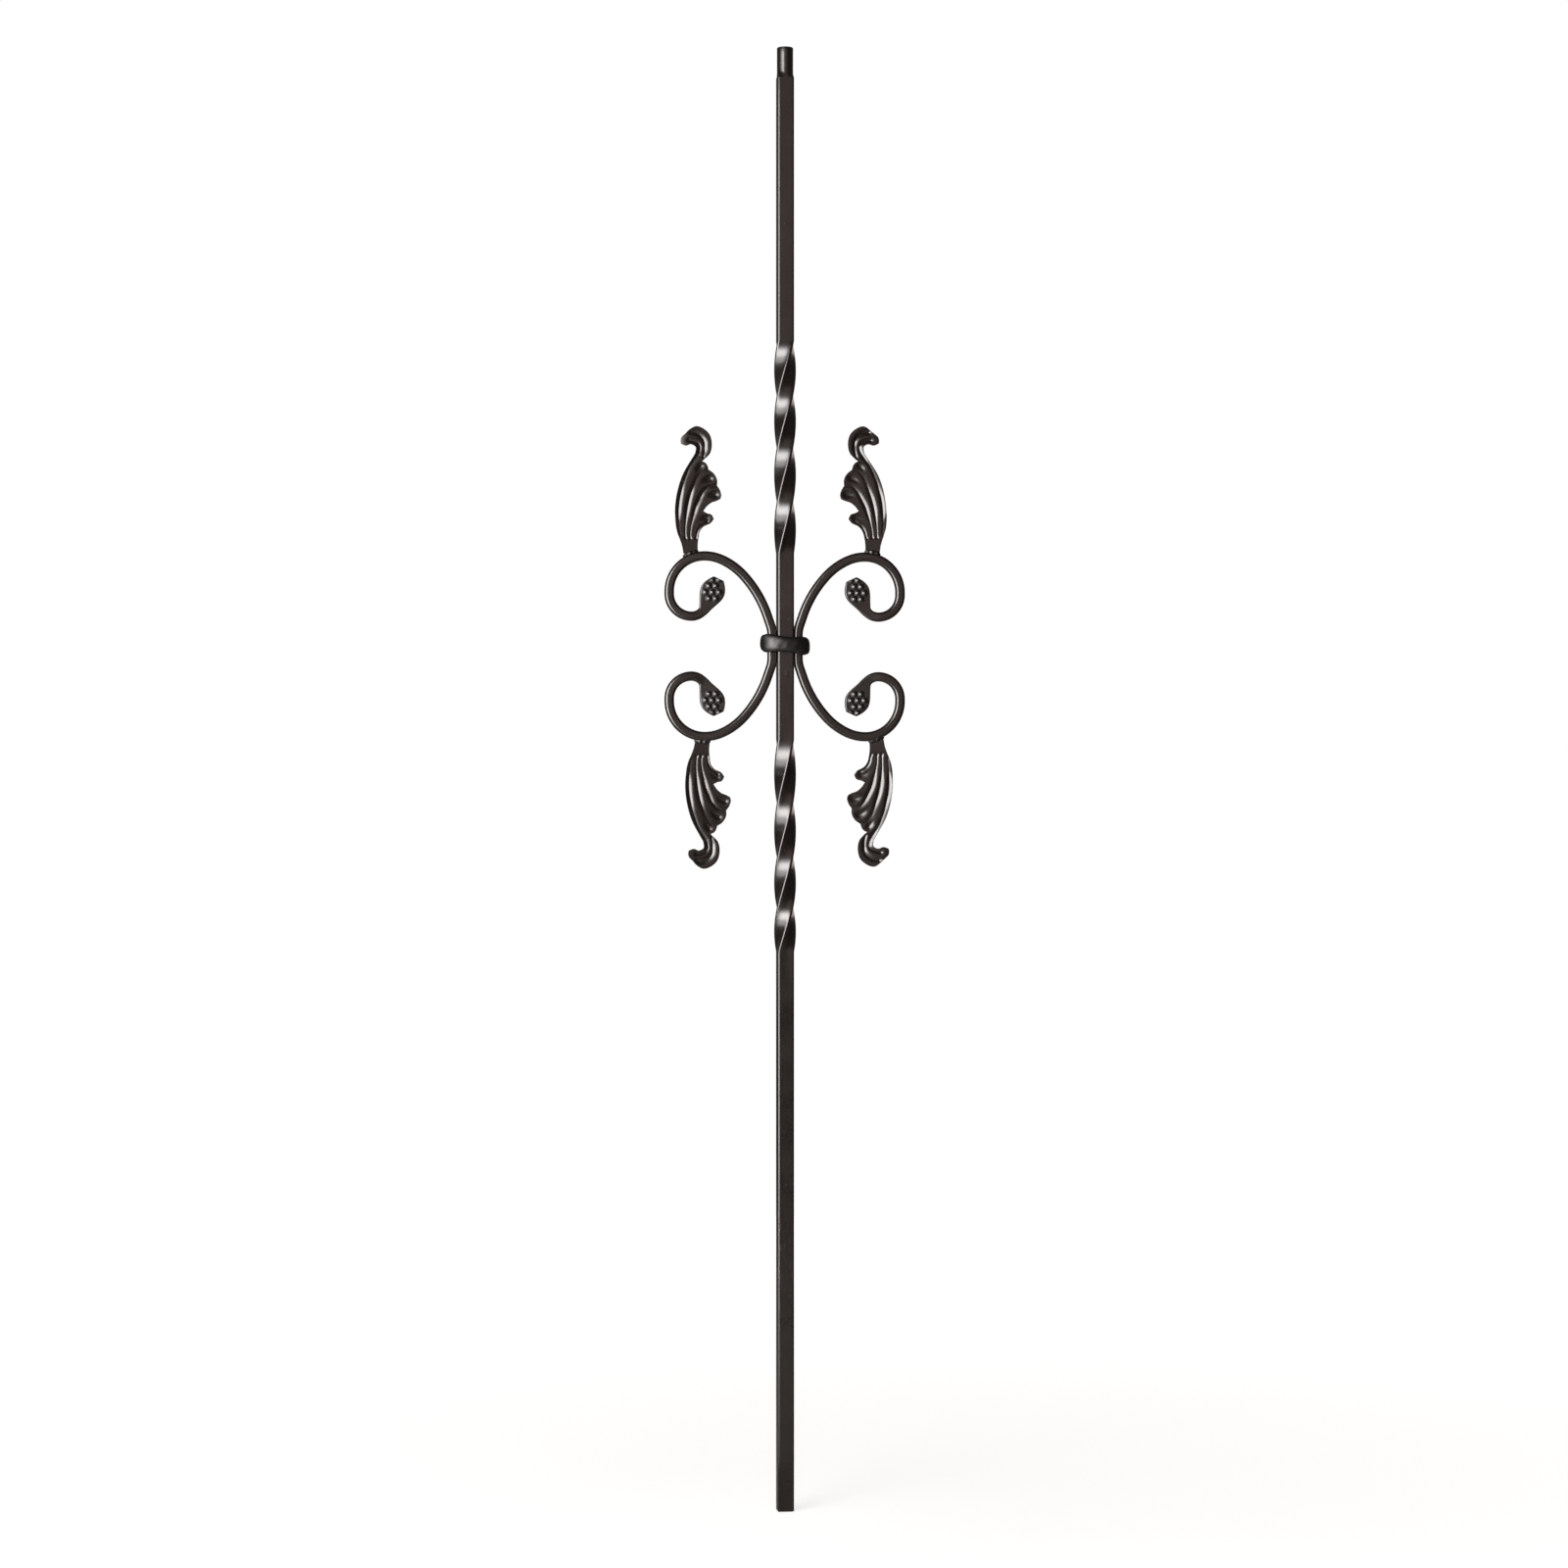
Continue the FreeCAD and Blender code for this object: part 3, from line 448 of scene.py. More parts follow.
def scroll_line(scroll, bar):
    """The path as points x + iz, headings from +Z towards +X, and lengths along it, move by move.

    It starts beside the bar, at half the bar's width and half the scroll's from the bar's axis.
    """
    points = [np.array([complex((bar.width + scroll.width) / 2, 0)])]
    headings, along = [np.zeros(1)], [np.zeros(1)]
    for reach, bend in scroll_moves(scroll):
        run = reach * (bend or 1)
        part = np.linspace(0, 1, max(3, math.ceil(run / SCROLL_STEP - 0.01)) + 1)[1:]
        start, facing = points[-1][-1], headings[-1][-1]
        turn = facing + bend * part
        if bend:
            path = reach * (math.cos(facing) - np.cos(turn) + 1j * (np.sin(turn) - math.sin(facing)))
        else:
            path = run * part * (math.sin(facing) + 1j * math.cos(facing))
        points.append(start + path)
        headings.append(turn)
        along.append(along[-1][-1] + run * part)
    return np.concatenate(points), np.concatenate(headings), np.concatenate(along)


def scroll_surface(scroll, bar, side):
    """Square outline carried along the C, from berry to berry.

    Half its width and half its thickness are functions of the length: constant on the bar, then eased
    through the neck to the flat berry, whose width falls off towards its cut end. On both faces of the berry
    the studs rise about the points of a staggered lattice, by their height times 1 less the square of the
    distance over their reach, wherever a stud's middle lies well on the face.
    """
    half = scroll.width / 2
    line, turn, along = scroll_line(scroll, bar)
    heading = math.sin(turn[-1]) + 1j * math.cos(turn[-1])
    berry_start = along[-1] - scroll.berry_reach
    fine = np.linspace(berry_start, along[-1], 70)
    bend = along < berry_start - 1e-6
    spots = np.concatenate([along[bend], fine])
    tip_line = line[-1] - (along[-1] - fine) * heading
    line = np.concatenate([line[bend], tip_line])
    turn = np.concatenate([turn[bend], np.full(fine.shape, turn[-1])])

    # Shares of the berry's length, from the neck: where its swell starts and where it is widest.
    swell_start, widest = -0.22, 0.56
    t = (spots - berry_start) / scroll.berry_reach
    neck = ease((spots - berry_start + scroll.neck_reach) / scroll.neck_reach)
    swell = ease((t - swell_start) / (1 + swell_start))
    full, end = scroll.berry_width / 2, scroll.berry_end / 2
    # A power near 2 rounds the sides off to the cut end like a flat ellipse.
    fall = 1 - np.clip((t - widest) / (1 - widest), 0, 1) ** 1.8
    wide = np.where(t > widest, end + (full - end) * fall, half + (full - half) * swell)
    thick = half + (scroll.berry_thickness / 2 - half) * neck
    cut_rim, cut_inset, cut_share = 0.8 * MM, 0.25 * MM, 0.6
    edge = rounded((spots[-1] - spots) / cut_rim)
    wide, thick = wide - cut_inset * (1 - edge), thick * (cut_share + (1 - cut_share) * edge)

    line, turn = np.append(line, line[-1]), np.append(turn, turn[-1])
    wide, thick, t = np.append(wide, 0), np.append(thick, 0), np.append(t, 1)
    soft, crisp = (square_outline(corner, 5, 46, 6) for corner in (scroll.corner, scroll.berry_corner))
    # The bar's soft corners turn to the berry's crisp ones between these shares of the berry's length.
    soft_end, crisp_start = -0.5, 0.1
    ring = soft + (crisp - soft) * ease((t[:, None] - soft_end) / (crisp_start - soft_end))
    flat = line[:, None] + (np.cos(turn) - 1j * np.sin(turn))[:, None] * wide[:, None] * ring.real
    deep = thick[:, None] * ring.imag

    # Shares of the berry: middle stud from the cut end, and reach of the studs towards the neck and sideways.
    home, towards_neck, sideways = 0.47, 0.25, 0.26
    off = flat - line[-1] + home * scroll.berry_reach * heading
    row = np.round(off.imag / scroll.stud_row)
    shift = np.mod(row, 2) * scroll.stud_pitch / 2
    across = np.round((off.real - shift) / scroll.stud_pitch) * scroll.stud_pitch + shift
    middle = across + 1j * row * scroll.stud_row
    place = middle * np.conj(heading)
    whole = np.abs(place.imag) < sideways * scroll.berry_width
    whole = whole & (place.real > -towards_neck * scroll.berry_reach)
    stud = scroll.stud_height * np.clip(1 - (np.abs(off - middle) / scroll.stud_reach) ** 2, 0, 1) * whole
    # The studded face starts and ends at shares of the berry's length, and fades near its sides.
    face_start, face_fade, face_end, side_fade = 0.16, 0.08, 0.985, 0.1
    on_face = (np.abs(ring.imag) > 0.999) * (t[:, None] < face_end)
    on_face = on_face * ease((t[:, None] - face_start) / face_fade)
    on_face = on_face * ease((1 - scroll.berry_corner - np.abs(ring.real)) / side_fade)
    deep = deep + np.sign(ring.imag) * stud * on_face

    # Painted shade and a dull coat on the ground between the studs; glossy and unshaded from two fifths of a
    # stud's height up.
    hollow = (1 - np.clip(stud / (0.4 * scroll.stud_height), 0, 1)) * on_face
    upper = np.stack([side * flat.real, deep, ORNAMENT_HEIGHT + flat.imag, hollow], axis=2)
    lower = upper * (1, 1, -1, 1) + (0, 0, 2 * ORNAMENT_HEIGHT, 0)
    return np.concatenate([lower[::-1], upper[1:]])


def collar_surface(collar, bar, scroll):
    """Soft rounded strap section carried round the three bars, each row at one direction from the bar's axis.

    The inner wall is the hull of the bars: the least distance to a side of the hull in that direction. The
    outer wall is a superellipse, uneven by two waves that cross each other. The height grows with the square
    of the distance from the bar and falls off again at the ends, and the strap drops to the right by its
    tilt. A short row at each end closes the seam's faces.
    """
    gap = collar.gap
    side, side_y, front = bar.width / 2 + scroll.width + gap, scroll.width / 2 + gap, bar.width / 2 + gap
    half = [complex(side, side_y), complex(front, front), complex(-front, front), complex(-side, side_y)]
    hull = np.array(half + [-corner for corner in half])
    out = -1j * (np.roll(hull, -1) - hull)
    out = out / np.abs(out)
    off = (hull * out.conj()).real
    split = collar.seam / 2 / (front + collar.wall)
    facing = np.linspace(QUARTER_TURN + split, QUARTER_TURN + TURN - split, 281)
    facing = np.concatenate([facing[:1], facing, facing[-1:]])
    way = np.exp(1j * facing)
    lean = (out[:, None] * way.conj()).real
    inner = np.min(np.where(lean > 1e-6, off[:, None] / np.maximum(lean, 1e-6), np.inf), axis=0)
    bulge = collar.roundness
    reach = np.array([side + collar.wall, front + collar.wall])
    outer = (np.abs(way.real / reach[0]) ** bulge + np.abs(way.imag / reach[1]) ** bulge) ** (-1 / bulge)
    outer = outer - collar.dents
    ring = square_outline(collar.corner, 11, 5, 5)
    ring = ring.imag + 1j * ring.real
    open_row = np.ones(len(way))
    open_row[[0, -1]] = 0
    middle, wall = (inner + outer) / 2, (outer - inner) / 2
    round_about = facing[:, None]
    # Seven and twelve waves round the strap that slant opposite ways.
    blows = np.sin(7 * round_about + 2.4 * ring.imag) + np.sin(12 * round_about - 3.1 * ring.imag + 1)
    beaten = collar.dents / 2 * blows * np.clip(ring.real, 0, 1) * open_row[:, None]
    plan = way[:, None] * (middle[:, None] + (wall * open_row)[:, None] * ring.real + beaten)
    span = middle * way.real / (side + collar.wall / 2)
    end_fall = 0.95
    tall = collar.height / 2 + collar.flare * span**2 * (1 - end_fall * span**6)
    height = (tall * open_row)[:, None] * ring.imag
    height = height + ORNAMENT_HEIGHT + collar.lift - math.tan(collar.tilt) * plan.real
    return np.stack([plan.real, plan.imag, height, np.full(height.shape, collar.dull)], axis=2)


def smooth_curve(points, count):
    """Curve through a few points: cubic between neighbours, its slope at each from those on either side."""
    p = np.array(points, dtype=float)
    knots = np.concatenate([[0], np.cumsum(np.hypot(*np.diff(p, axis=0).T))])
    slope = np.gradient(p, knots, axis=0, edge_order=1)
    at = np.linspace(0, knots[-1], count)
    k = np.clip(np.searchsorted(knots, at, side="right") - 1, 0, len(knots) - 2)
    gap = (knots[k + 1] - knots[k])[:, None]
    t = ((at - knots[k])[:, None]) / gap
    return ((2 * t**3 - 3 * t**2 + 1) * p[k] + (t**3 - 2 * t**2 + t) * gap * slope[k]
            + (3 * t**2 - 2 * t**3) * p[k + 1] + (t**3 - t**2) * gap * slope[k + 1])


# Lines of the leaf in mm: u towards the bar, v up from its seat. Grooves part the ribs and end in notches.
LEAF_LINES = {
    "outer_edge": ((-5.5, 0), (-6.0, 3.5), (-11.2, 20), (-11.8, 36), (-6.9, 58.5), (3.5, 76.5)),
    "hook_edge": ((3.5, 76.5), (3.6, 81.5), (0.5, 83.5), (-4, 82.2), (-7.8, 83.5)),
    "stem_groove": ((-4.3, 0), (-6.3, 7), (-8.5, 16), (-9.3, 26), (-9.3, 34), (-8.5, 41.6), (-7.2, 47.5),
                    (-5.7, 53.5), (-3.6, 59.5), (-1.1, 65.5), (2.3, 71), (5.2, 75.3)),
    "hook_groove": ((5.2, 75.3), (6.7, 78.5), (6.9, 81.8), (5.2, 84.2), (2.3, 85.3), (-1.6, 86.2),
                    (-8.2, 85.4)),
    "first_groove": ((-1.9, 0), (-3.6, 8), (-4.1, 17.6), (-3.3, 29.6), (-2.4, 35.6), (-1.1, 41.6),
                     (0.7, 47.5), (2.7, 53.5), (5.6, 59.5), (8.9, 62.9), (13.4, 64.2)),
    "second_groove": ((0.4, 0), (-0.2, 8), (-0.2, 17.6), (0.9, 23.6), (2.4, 29.6), (4.1, 35.6), (6.8, 41.6),
                      (9.9, 47.3), (13.6, 51.2), (19.9, 52.3)),
    "third_seam": ((2.6, 0), (2.7, 10), (4.6, 20), (9.5, 32.5)),
    "under_edge": ((9.5, 32.5), (12, 36), (15.5, 38.9), (20.2, 40.7), (22.6, 42.2), (23.4, 45)),
    "inner_edge": ((5.5, 0), (5.3, 7), (5.8, 11.6), (7.2, 17.4), (10.0, 20.9), (15.2, 23.4), (17.6, 26.6)),
    "inner_groove": ((4.2, 11.6), (5.6, 17.4), (7.6, 20.7), (10.4, 22.9), (13.0, 24.4)),
    "neck": ((5.2, 75.3), (6.8, 73.0), (8.5, 70.5)),
    "first_lobe": ((8.5, 70.5), (10.6, 69.6), (12.4, 67.4), (13.4, 64.2)),
    "second_lobe": ((13.4, 64.2), (16.8, 61.9), (19.2, 58.6), (20.1, 55.4), (19.9, 52.3)),
    "third_lobe": ((19.9, 52.3), (22.3, 48.6), (23.4, 45)),
    "low_lobe": ((9.5, 32.5), (12.3, 31.0), (15.7, 30.0), (17.6, 26.6)),
    "first_dish": ((3.4, 61), (5.6, 64.6), (7.4, 66.6)),
    "second_dish": ((7.6, 52.2), (10.8, 55.4), (14.4, 57.4)),
    "third_dish": ((11.4, 42.4), (14.6, 44.4), (18.8, 45.2)),
    "low_dish": ((6.6, 23.6), (9.4, 26.4), (12.4, 27.2)),
    "head_groove": ((8.5, 70.5), (9.9, 75.3), (10.5, 81.2), (10.1, 85.7), (7.6, 89.5), (3.8, 91.9),
                    (0.5, 92.4), (-7.6, 88.4)),
    "head_edge": ((8.5, 70.5), (14.6, 77), (15.8, 84), (14, 91), (4, 97.2), (-6.8, 89.5)),
    "curl_tip": ((-7.8, 83.5), (-8.2, 85.4)),
    "crest_tip": ((-8.2, 85.4), (-8.1, 86.9), (-7.6, 88.4)),
    "brow_tip": ((-7.6, 88.4), (-6.8, 89.5)),
}

# Grooves in mm: lines, length without a groove at each end, width and depth where it starts and where it is
# full, the lengths between which it grows, the radius at its bottom, and the share of its depth that is lost
# high on the leaf.
LEAF_GROOVES = (
    (("stem_groove", "hook_groove"), (15, 6.5), (1.8, 0.25), (3.2, 1.15), (8, 20), 0.3, 0.5),
    (("first_groove",), (11.5, 0), (1.1, 0.32), (3.3, 1.15), (8, 24), 0.3, 0.6),
    (("second_groove",), (11.5, 0), (1.1, 0.32), (3.3, 1.15), (8, 24), 0.3, 0.6),
    (("inner_groove",), (0, 0), (1.2, 0.35), (1.7, 0.55), (0, 8), 0.3, 0),
    (("head_groove",), (3, 8), (1.6, 0.5), (3.4, 1.1), (0, 7), 0.5, 0),
    (("first_dish",), (0, 0), (1.5, 0.1), (3.2, 0.95), (0, 6), 1.2, 0),
    (("second_dish",), (0, 0), (2.0, 0.1), (3.6, 1.1), (0, 8), 1.3, 0),
    (("third_dish",), (0, 0), (2.0, 0.1), (3.6, 1.1), (0, 8), 1.3, 0),
    (("low_dish",), (0, 0), (2.0, 0.1), (3.0, 0.8), (0, 7), 1.2, 0),
)

# Round starts of the grooves in mm: u, v, radius and depth.
LEAF_STARTS = ((-4.0, 11.6, 1.9, 0.5), (-0.2, 11.6, 1.9, 0.5), (4.1, 11.6, 1.6, 0.45))

# Heights in mm between which the grooves grow shallower, and between which they deepen again.
LEAF_SHALLOW, LEAF_DEEP_AGAIN = (40, 56), (66, 76)
# The curled tip in mm: the height that it starts above, u where it starts and its length across.
TIP_HEIGHT, TIP_START, TIP_REACH = 79, 1, 9.4


def patch(left, right, bottom, top):
    """Sheet between four lines: the two ways of ruling it added, less the sheet ruled between its corners."""
    v = np.linspace(0, 1, len(left))[:, None, None]
    u = np.linspace(0, 1, len(bottom))[None, :, None]
    across = (1 - u) * left[:, None] + u * right[:, None]
    along = (1 - v) * bottom[None] + v * top[None]
    corners = ((1 - v) * ((1 - u) * left[0] + u * right[0]) + v * ((1 - u) * left[-1] + u * right[-1]))
    return across + along - corners


def joined(*lines):
    """Lines one after the other, each without the point where the one before ended."""
    return np.concatenate([lines[0]] + [line[1:] for line in lines[1:]])


def foot(left, right, count):
    """Straight line between the first points of two lines."""
    return np.linspace(left[0], right[0], count)


def leaf_sheets():
    """The leaf as seven flat sheets of (u, v) in mm that share the lines between them."""
    low, high, wide, narrow, seam_count = 150, 70, 19, 13, 60
    counts = dict.fromkeys(("outer_edge", "stem_groove", "first_groove", "second_groove"), low)
    counts |= dict.fromkeys(("hook_edge", "hook_groove", "head_groove", "head_edge"), high)
    counts |= {"third_seam": seam_count, "inner_edge": seam_count, "under_edge": low - seam_count + 1}
    counts |= dict.fromkeys(("neck", "first_lobe", "crest_tip"), narrow)
    line = {name: smooth_curve(points, counts.get(name, wide)) for name, points in LEAF_LINES.items()}
    edges = ("outer_edge", "stem_groove", "first_groove", "second_groove", "third_seam", "inner_edge")
    outer, stem, first, second, seam, inner = (line[name] for name in edges)
    neck, mane, brow = line["neck"], line["head_groove"], line["head_edge"]
    return [
        patch(joined(outer, line["hook_edge"]), joined(stem, line["hook_groove"]), foot(outer, stem, wide),
              line["curl_tip"]),
        patch(stem, first, foot(stem, first, 2 * narrow - 1), joined(neck, line["first_lobe"])),
        patch(first, second, foot(first, second, wide), line["second_lobe"]),
        patch(second, joined(seam, line["under_edge"]), foot(second, seam, wide), line["third_lobe"]),
        patch(seam, inner, foot(seam, inner, wide), line["low_lobe"]),
        patch(line["hook_groove"], mane, neck, line["crest_tip"]),
        patch(mane, brow, foot(mane, brow, wide), line["brow_tip"]),
    ]


def leaf_depth(sheet, leaf, curl):
    """How far a sheet's points lie behind the leaf's front, in mm.

    A groove sinks a point by its depth times the square of 1 less the distance to its line over its width,
    so the ribs between grooves are round. A round start sinks it by its depth times the square of 1 less the
    square of the distance over the radius. The tip curls back with the square of its reach past its start.
    """
    spots = sheet.reshape(-1, 2)
    u, v = spots.T
    depth = curl * np.clip((TIP_START - u) / TIP_REACH, 0, None) ** 2 * (v > TIP_HEIGHT)
    high = ease((v - LEAF_SHALLOW[0]) / (LEAF_SHALLOW[1] - LEAF_SHALLOW[0]))
    high = high * (1 - ease((v - LEAF_DEEP_AGAIN[0]) / (LEAF_DEEP_AGAIN[1] - LEAF_DEEP_AGAIN[0])))
    for names, ends, start, full, growth, radius, lost in LEAF_GROOVES:
        line = joined(*(smooth_curve(LEAF_LINES[name], 120) for name in names))
        step = np.diff(line, axis=0)
        run = np.concatenate([[0], np.cumsum(np.linalg.norm(step, axis=1))])
        kept = (run >= ends[0]) & (run <= run[-1] - ends[1])
        ahead = np.gradient(line, run, axis=0)[kept]
        line, run = line[kept], run[kept] - ends[0]
        off = spots[:, None] - line[None]
        near = np.argmin((off**2).sum(axis=2), axis=1)
        off = off[np.arange(len(spots)), near]
        inside = (near > 0) & (near < len(line) - 1)
        along = (off * ahead[near]).sum(axis=1) * inside
        grown = ease((run[near] - growth[0]) / (growth[1] - growth[0]))
        width = start[0] + (full[0] - start[0]) * grown
        sunk = (start[1] + (full[1] - start[1]) * grown) * (1 - lost * high)
        away = np.sqrt(np.clip((off**2).sum(axis=1) - along**2, 0, None) + radius**2) - radius
        depth += leaf.relief * sunk * np.clip(1 - away / width, 0, 1) ** 2
    for across, up, radius, sunk in LEAF_STARTS:
        away = np.hypot(u - across, v - up) / radius
        depth += leaf.relief * sunk * np.clip(1 - away**2, 0, 1) ** 2
    return depth.reshape(sheet.shape[:2])


def crown_centre(scroll, bar):
    """Centre of the outer quarter of the upper volute, x + iz, where the path heads straight outwards."""
    line, turn, _ = scroll_line(scroll, bar)
    top = np.argmin(np.abs(turn - QUARTER_TURN))
    return line[top] - 1j * scroll.volute_radius


def seat_of_leaf(made, distance):
    """Point x + iz on top of the scroll at a distance from the bar in mm, and how far the top leans there."""
    centre, rim = crown_centre(made.scroll, made.bar), made.scroll.volute_radius + made.scroll.width / 2
    lean = math.asin((distance * MM - centre.real) / rim)
    return complex(-distance * MM, centre.imag + rim * math.cos(lean)), lean


def leaf_surface(made, place, flips):
    """The sheets turned by the leaf's lean, moved to its seat and mirrored into its quarter."""
    distance, lean, curl, turn = place
    stands, _ = seat_of_leaf(made, distance)
    front = made.leaf.thickness / 2 - made.leaf.front
    grids = []
    for sheet in leaf_sheets():
        flat = stands + (sheet[..., 0] + 1j * sheet[..., 1]) * MM * np.exp(-1j * math.radians(lean))
        across, up = flat.real * flips[0], ORNAMENT_HEIGHT + flat.imag * flips[1]
        turned = math.tan(math.radians(turn)) * (across - stands.real * flips[0])
        back = front + turned + leaf_depth(sheet, made.leaf, curl) * MM
        grids.append(np.stack([across, back, up], axis=2))
    return grids


def weld_surface(made, place, flips, turn):
    """Ellipsoid along the scroll's top whose radius swells and shrinks by a few waves."""
    weld = made.weld
    stands, lean = seat_of_leaf(made, place[0])
    a = np.linspace(0, TURN, 65)[None, :]
    b = np.linspace(0, math.pi, 33)[:, None]
    waves = np.sin(3 * a + turn) * np.sin(b) ** 2 + 0.7 * np.sin(9 * b + 2 * turn + np.cos(a))
    swell = 1 + weld.lumps * waves * np.sin(b)
    x = weld.reach * np.cos(b) * np.ones_like(a) * (1 + 0.3 * weld.lumps * waves * np.sin(b))
    y = weld.depth * np.sin(b) * np.cos(a) * swell
    z = weld.height * np.sin(b) * np.sin(a) * swell
    flat = stands + (x + 1j * z) * np.exp(1j * lean)
    dull = np.full(y.shape, weld.dull)
    return np.stack([flat.real * flips[0], y, ORNAMENT_HEIGHT + flat.imag * flips[1], dull], axis=2)


QUARTERS = {"upper_left": (1, 1), "upper_right": (-1, 1), "lower_left": (1, -1), "lower_right": (-1, -1)}


class OBJECT_OT_baluster_bar(bpy.types.Operator):
    """Build the twisted square bar with its dowel"""

    bl_idname = "object.baluster_bar"
    bl_label = "Twisted bar"

    def execute(self, context):
        made = context.scene.baluster
        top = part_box("baluster_bar")[1][2]
        place_piece("bar", [twisted_bar(made.bar, top)], bronze_powder_coat(made.coat), "baluster_bar")
        return {"FINISHED"}


class OBJECT_OT_baluster_scrolls(bpy.types.Operator):
    """Build the two C scrolls with their studded berries"""

    bl_idname = "object.baluster_scrolls"
    bl_label = "C scrolls"

    def execute(self, context):
        made = context.scene.baluster
        for name, side in (("left_scroll", -1), ("right_scroll", 1)):
            grid = scroll_surface(made.scroll, made.bar, side)
            place_piece(f"{name}_bar", [grid], bronze_powder_coat(made.coat), name)
        return {"FINISHED"}


class OBJECT_OT_baluster_collar(bpy.types.Operator):
    """Build the strap collar"""

    bl_idname = "object.baluster_collar"
    bl_label = "Strap collar"

    def execute(self, context):
        made = context.scene.baluster
        strap = collar_surface(made.collar, made.bar, made.scroll)
        place_piece("strap", [strap], bronze_powder_coat(made.coat), "collar")
        return {"FINISHED"}


class OBJECT_OT_baluster_leaves(bpy.types.Operator):
    """Build the four ribbed leaves"""

    bl_idname = "object.baluster_leaves"
    bl_label = "Leaves"

    def execute(self, context):
        made = context.scene.baluster
        for name, flips in QUARTERS.items():
            grids = leaf_surface(made, getattr(made.leaf, name), flips)
            piece = place_piece(f"{name}_plate", grids, bronze_powder_coat(made.coat), f"{name}_leaf")
            wall = piece.modifiers.new("plate", "SOLIDIFY")
            wall.thickness = made.leaf.thickness
            wall.offset = 0
            edge = piece.modifiers.new("edges", "BEVEL")
            edge.width = made.leaf.edge
            edge.segments = 3
            edge.limit_method = "ANGLE"
            edge.angle_limit = math.radians(60)
        return {"FINISHED"}


class OBJECT_OT_baluster_welds(bpy.types.Operator):
    """Build the weld beads at the feet of the leaves"""

    bl_idname = "object.baluster_welds"
    bl_label = "Weld beads"

    def execute(self, context):
        made = context.scene.baluster
        for turn, (name, flips) in enumerate(QUARTERS.items()):
            bead = weld_surface(made, getattr(made.leaf, name), flips, turn)
            place_piece(f"{name}_bead", [bead], bronze_powder_coat(made.coat), f"{name}_leaf")
        return {"FINISHED"}


WARM_WHITE = (1, 0.965, 0.95)
# Lamps: turn about the bar in degrees, distance, height, width and height in metres, and tint.
LAMPS = {
    "key": (-37, 1.6, 0.72, (0.7, 1.5), WARM_WHITE),
    "halo": (-44, 1.62, 0.72, (1.7, 1.5), WARM_WHITE),
    "fill": (8, 3.2, 1.25, (1.6, 1.6), (1, 0.73, 0.67)),
    "back": (160, 2.0, 0.76, (1.5, 1.5), (1, 0.8, 0.75)),
}
# Width of the camera's sensor in mm.
SENSOR = 36
# Half the floor's side, and its depth under the bar's foot, in metres.
FLOOR_REACH, FLOOR_SINK = 8, 0.2 * MM


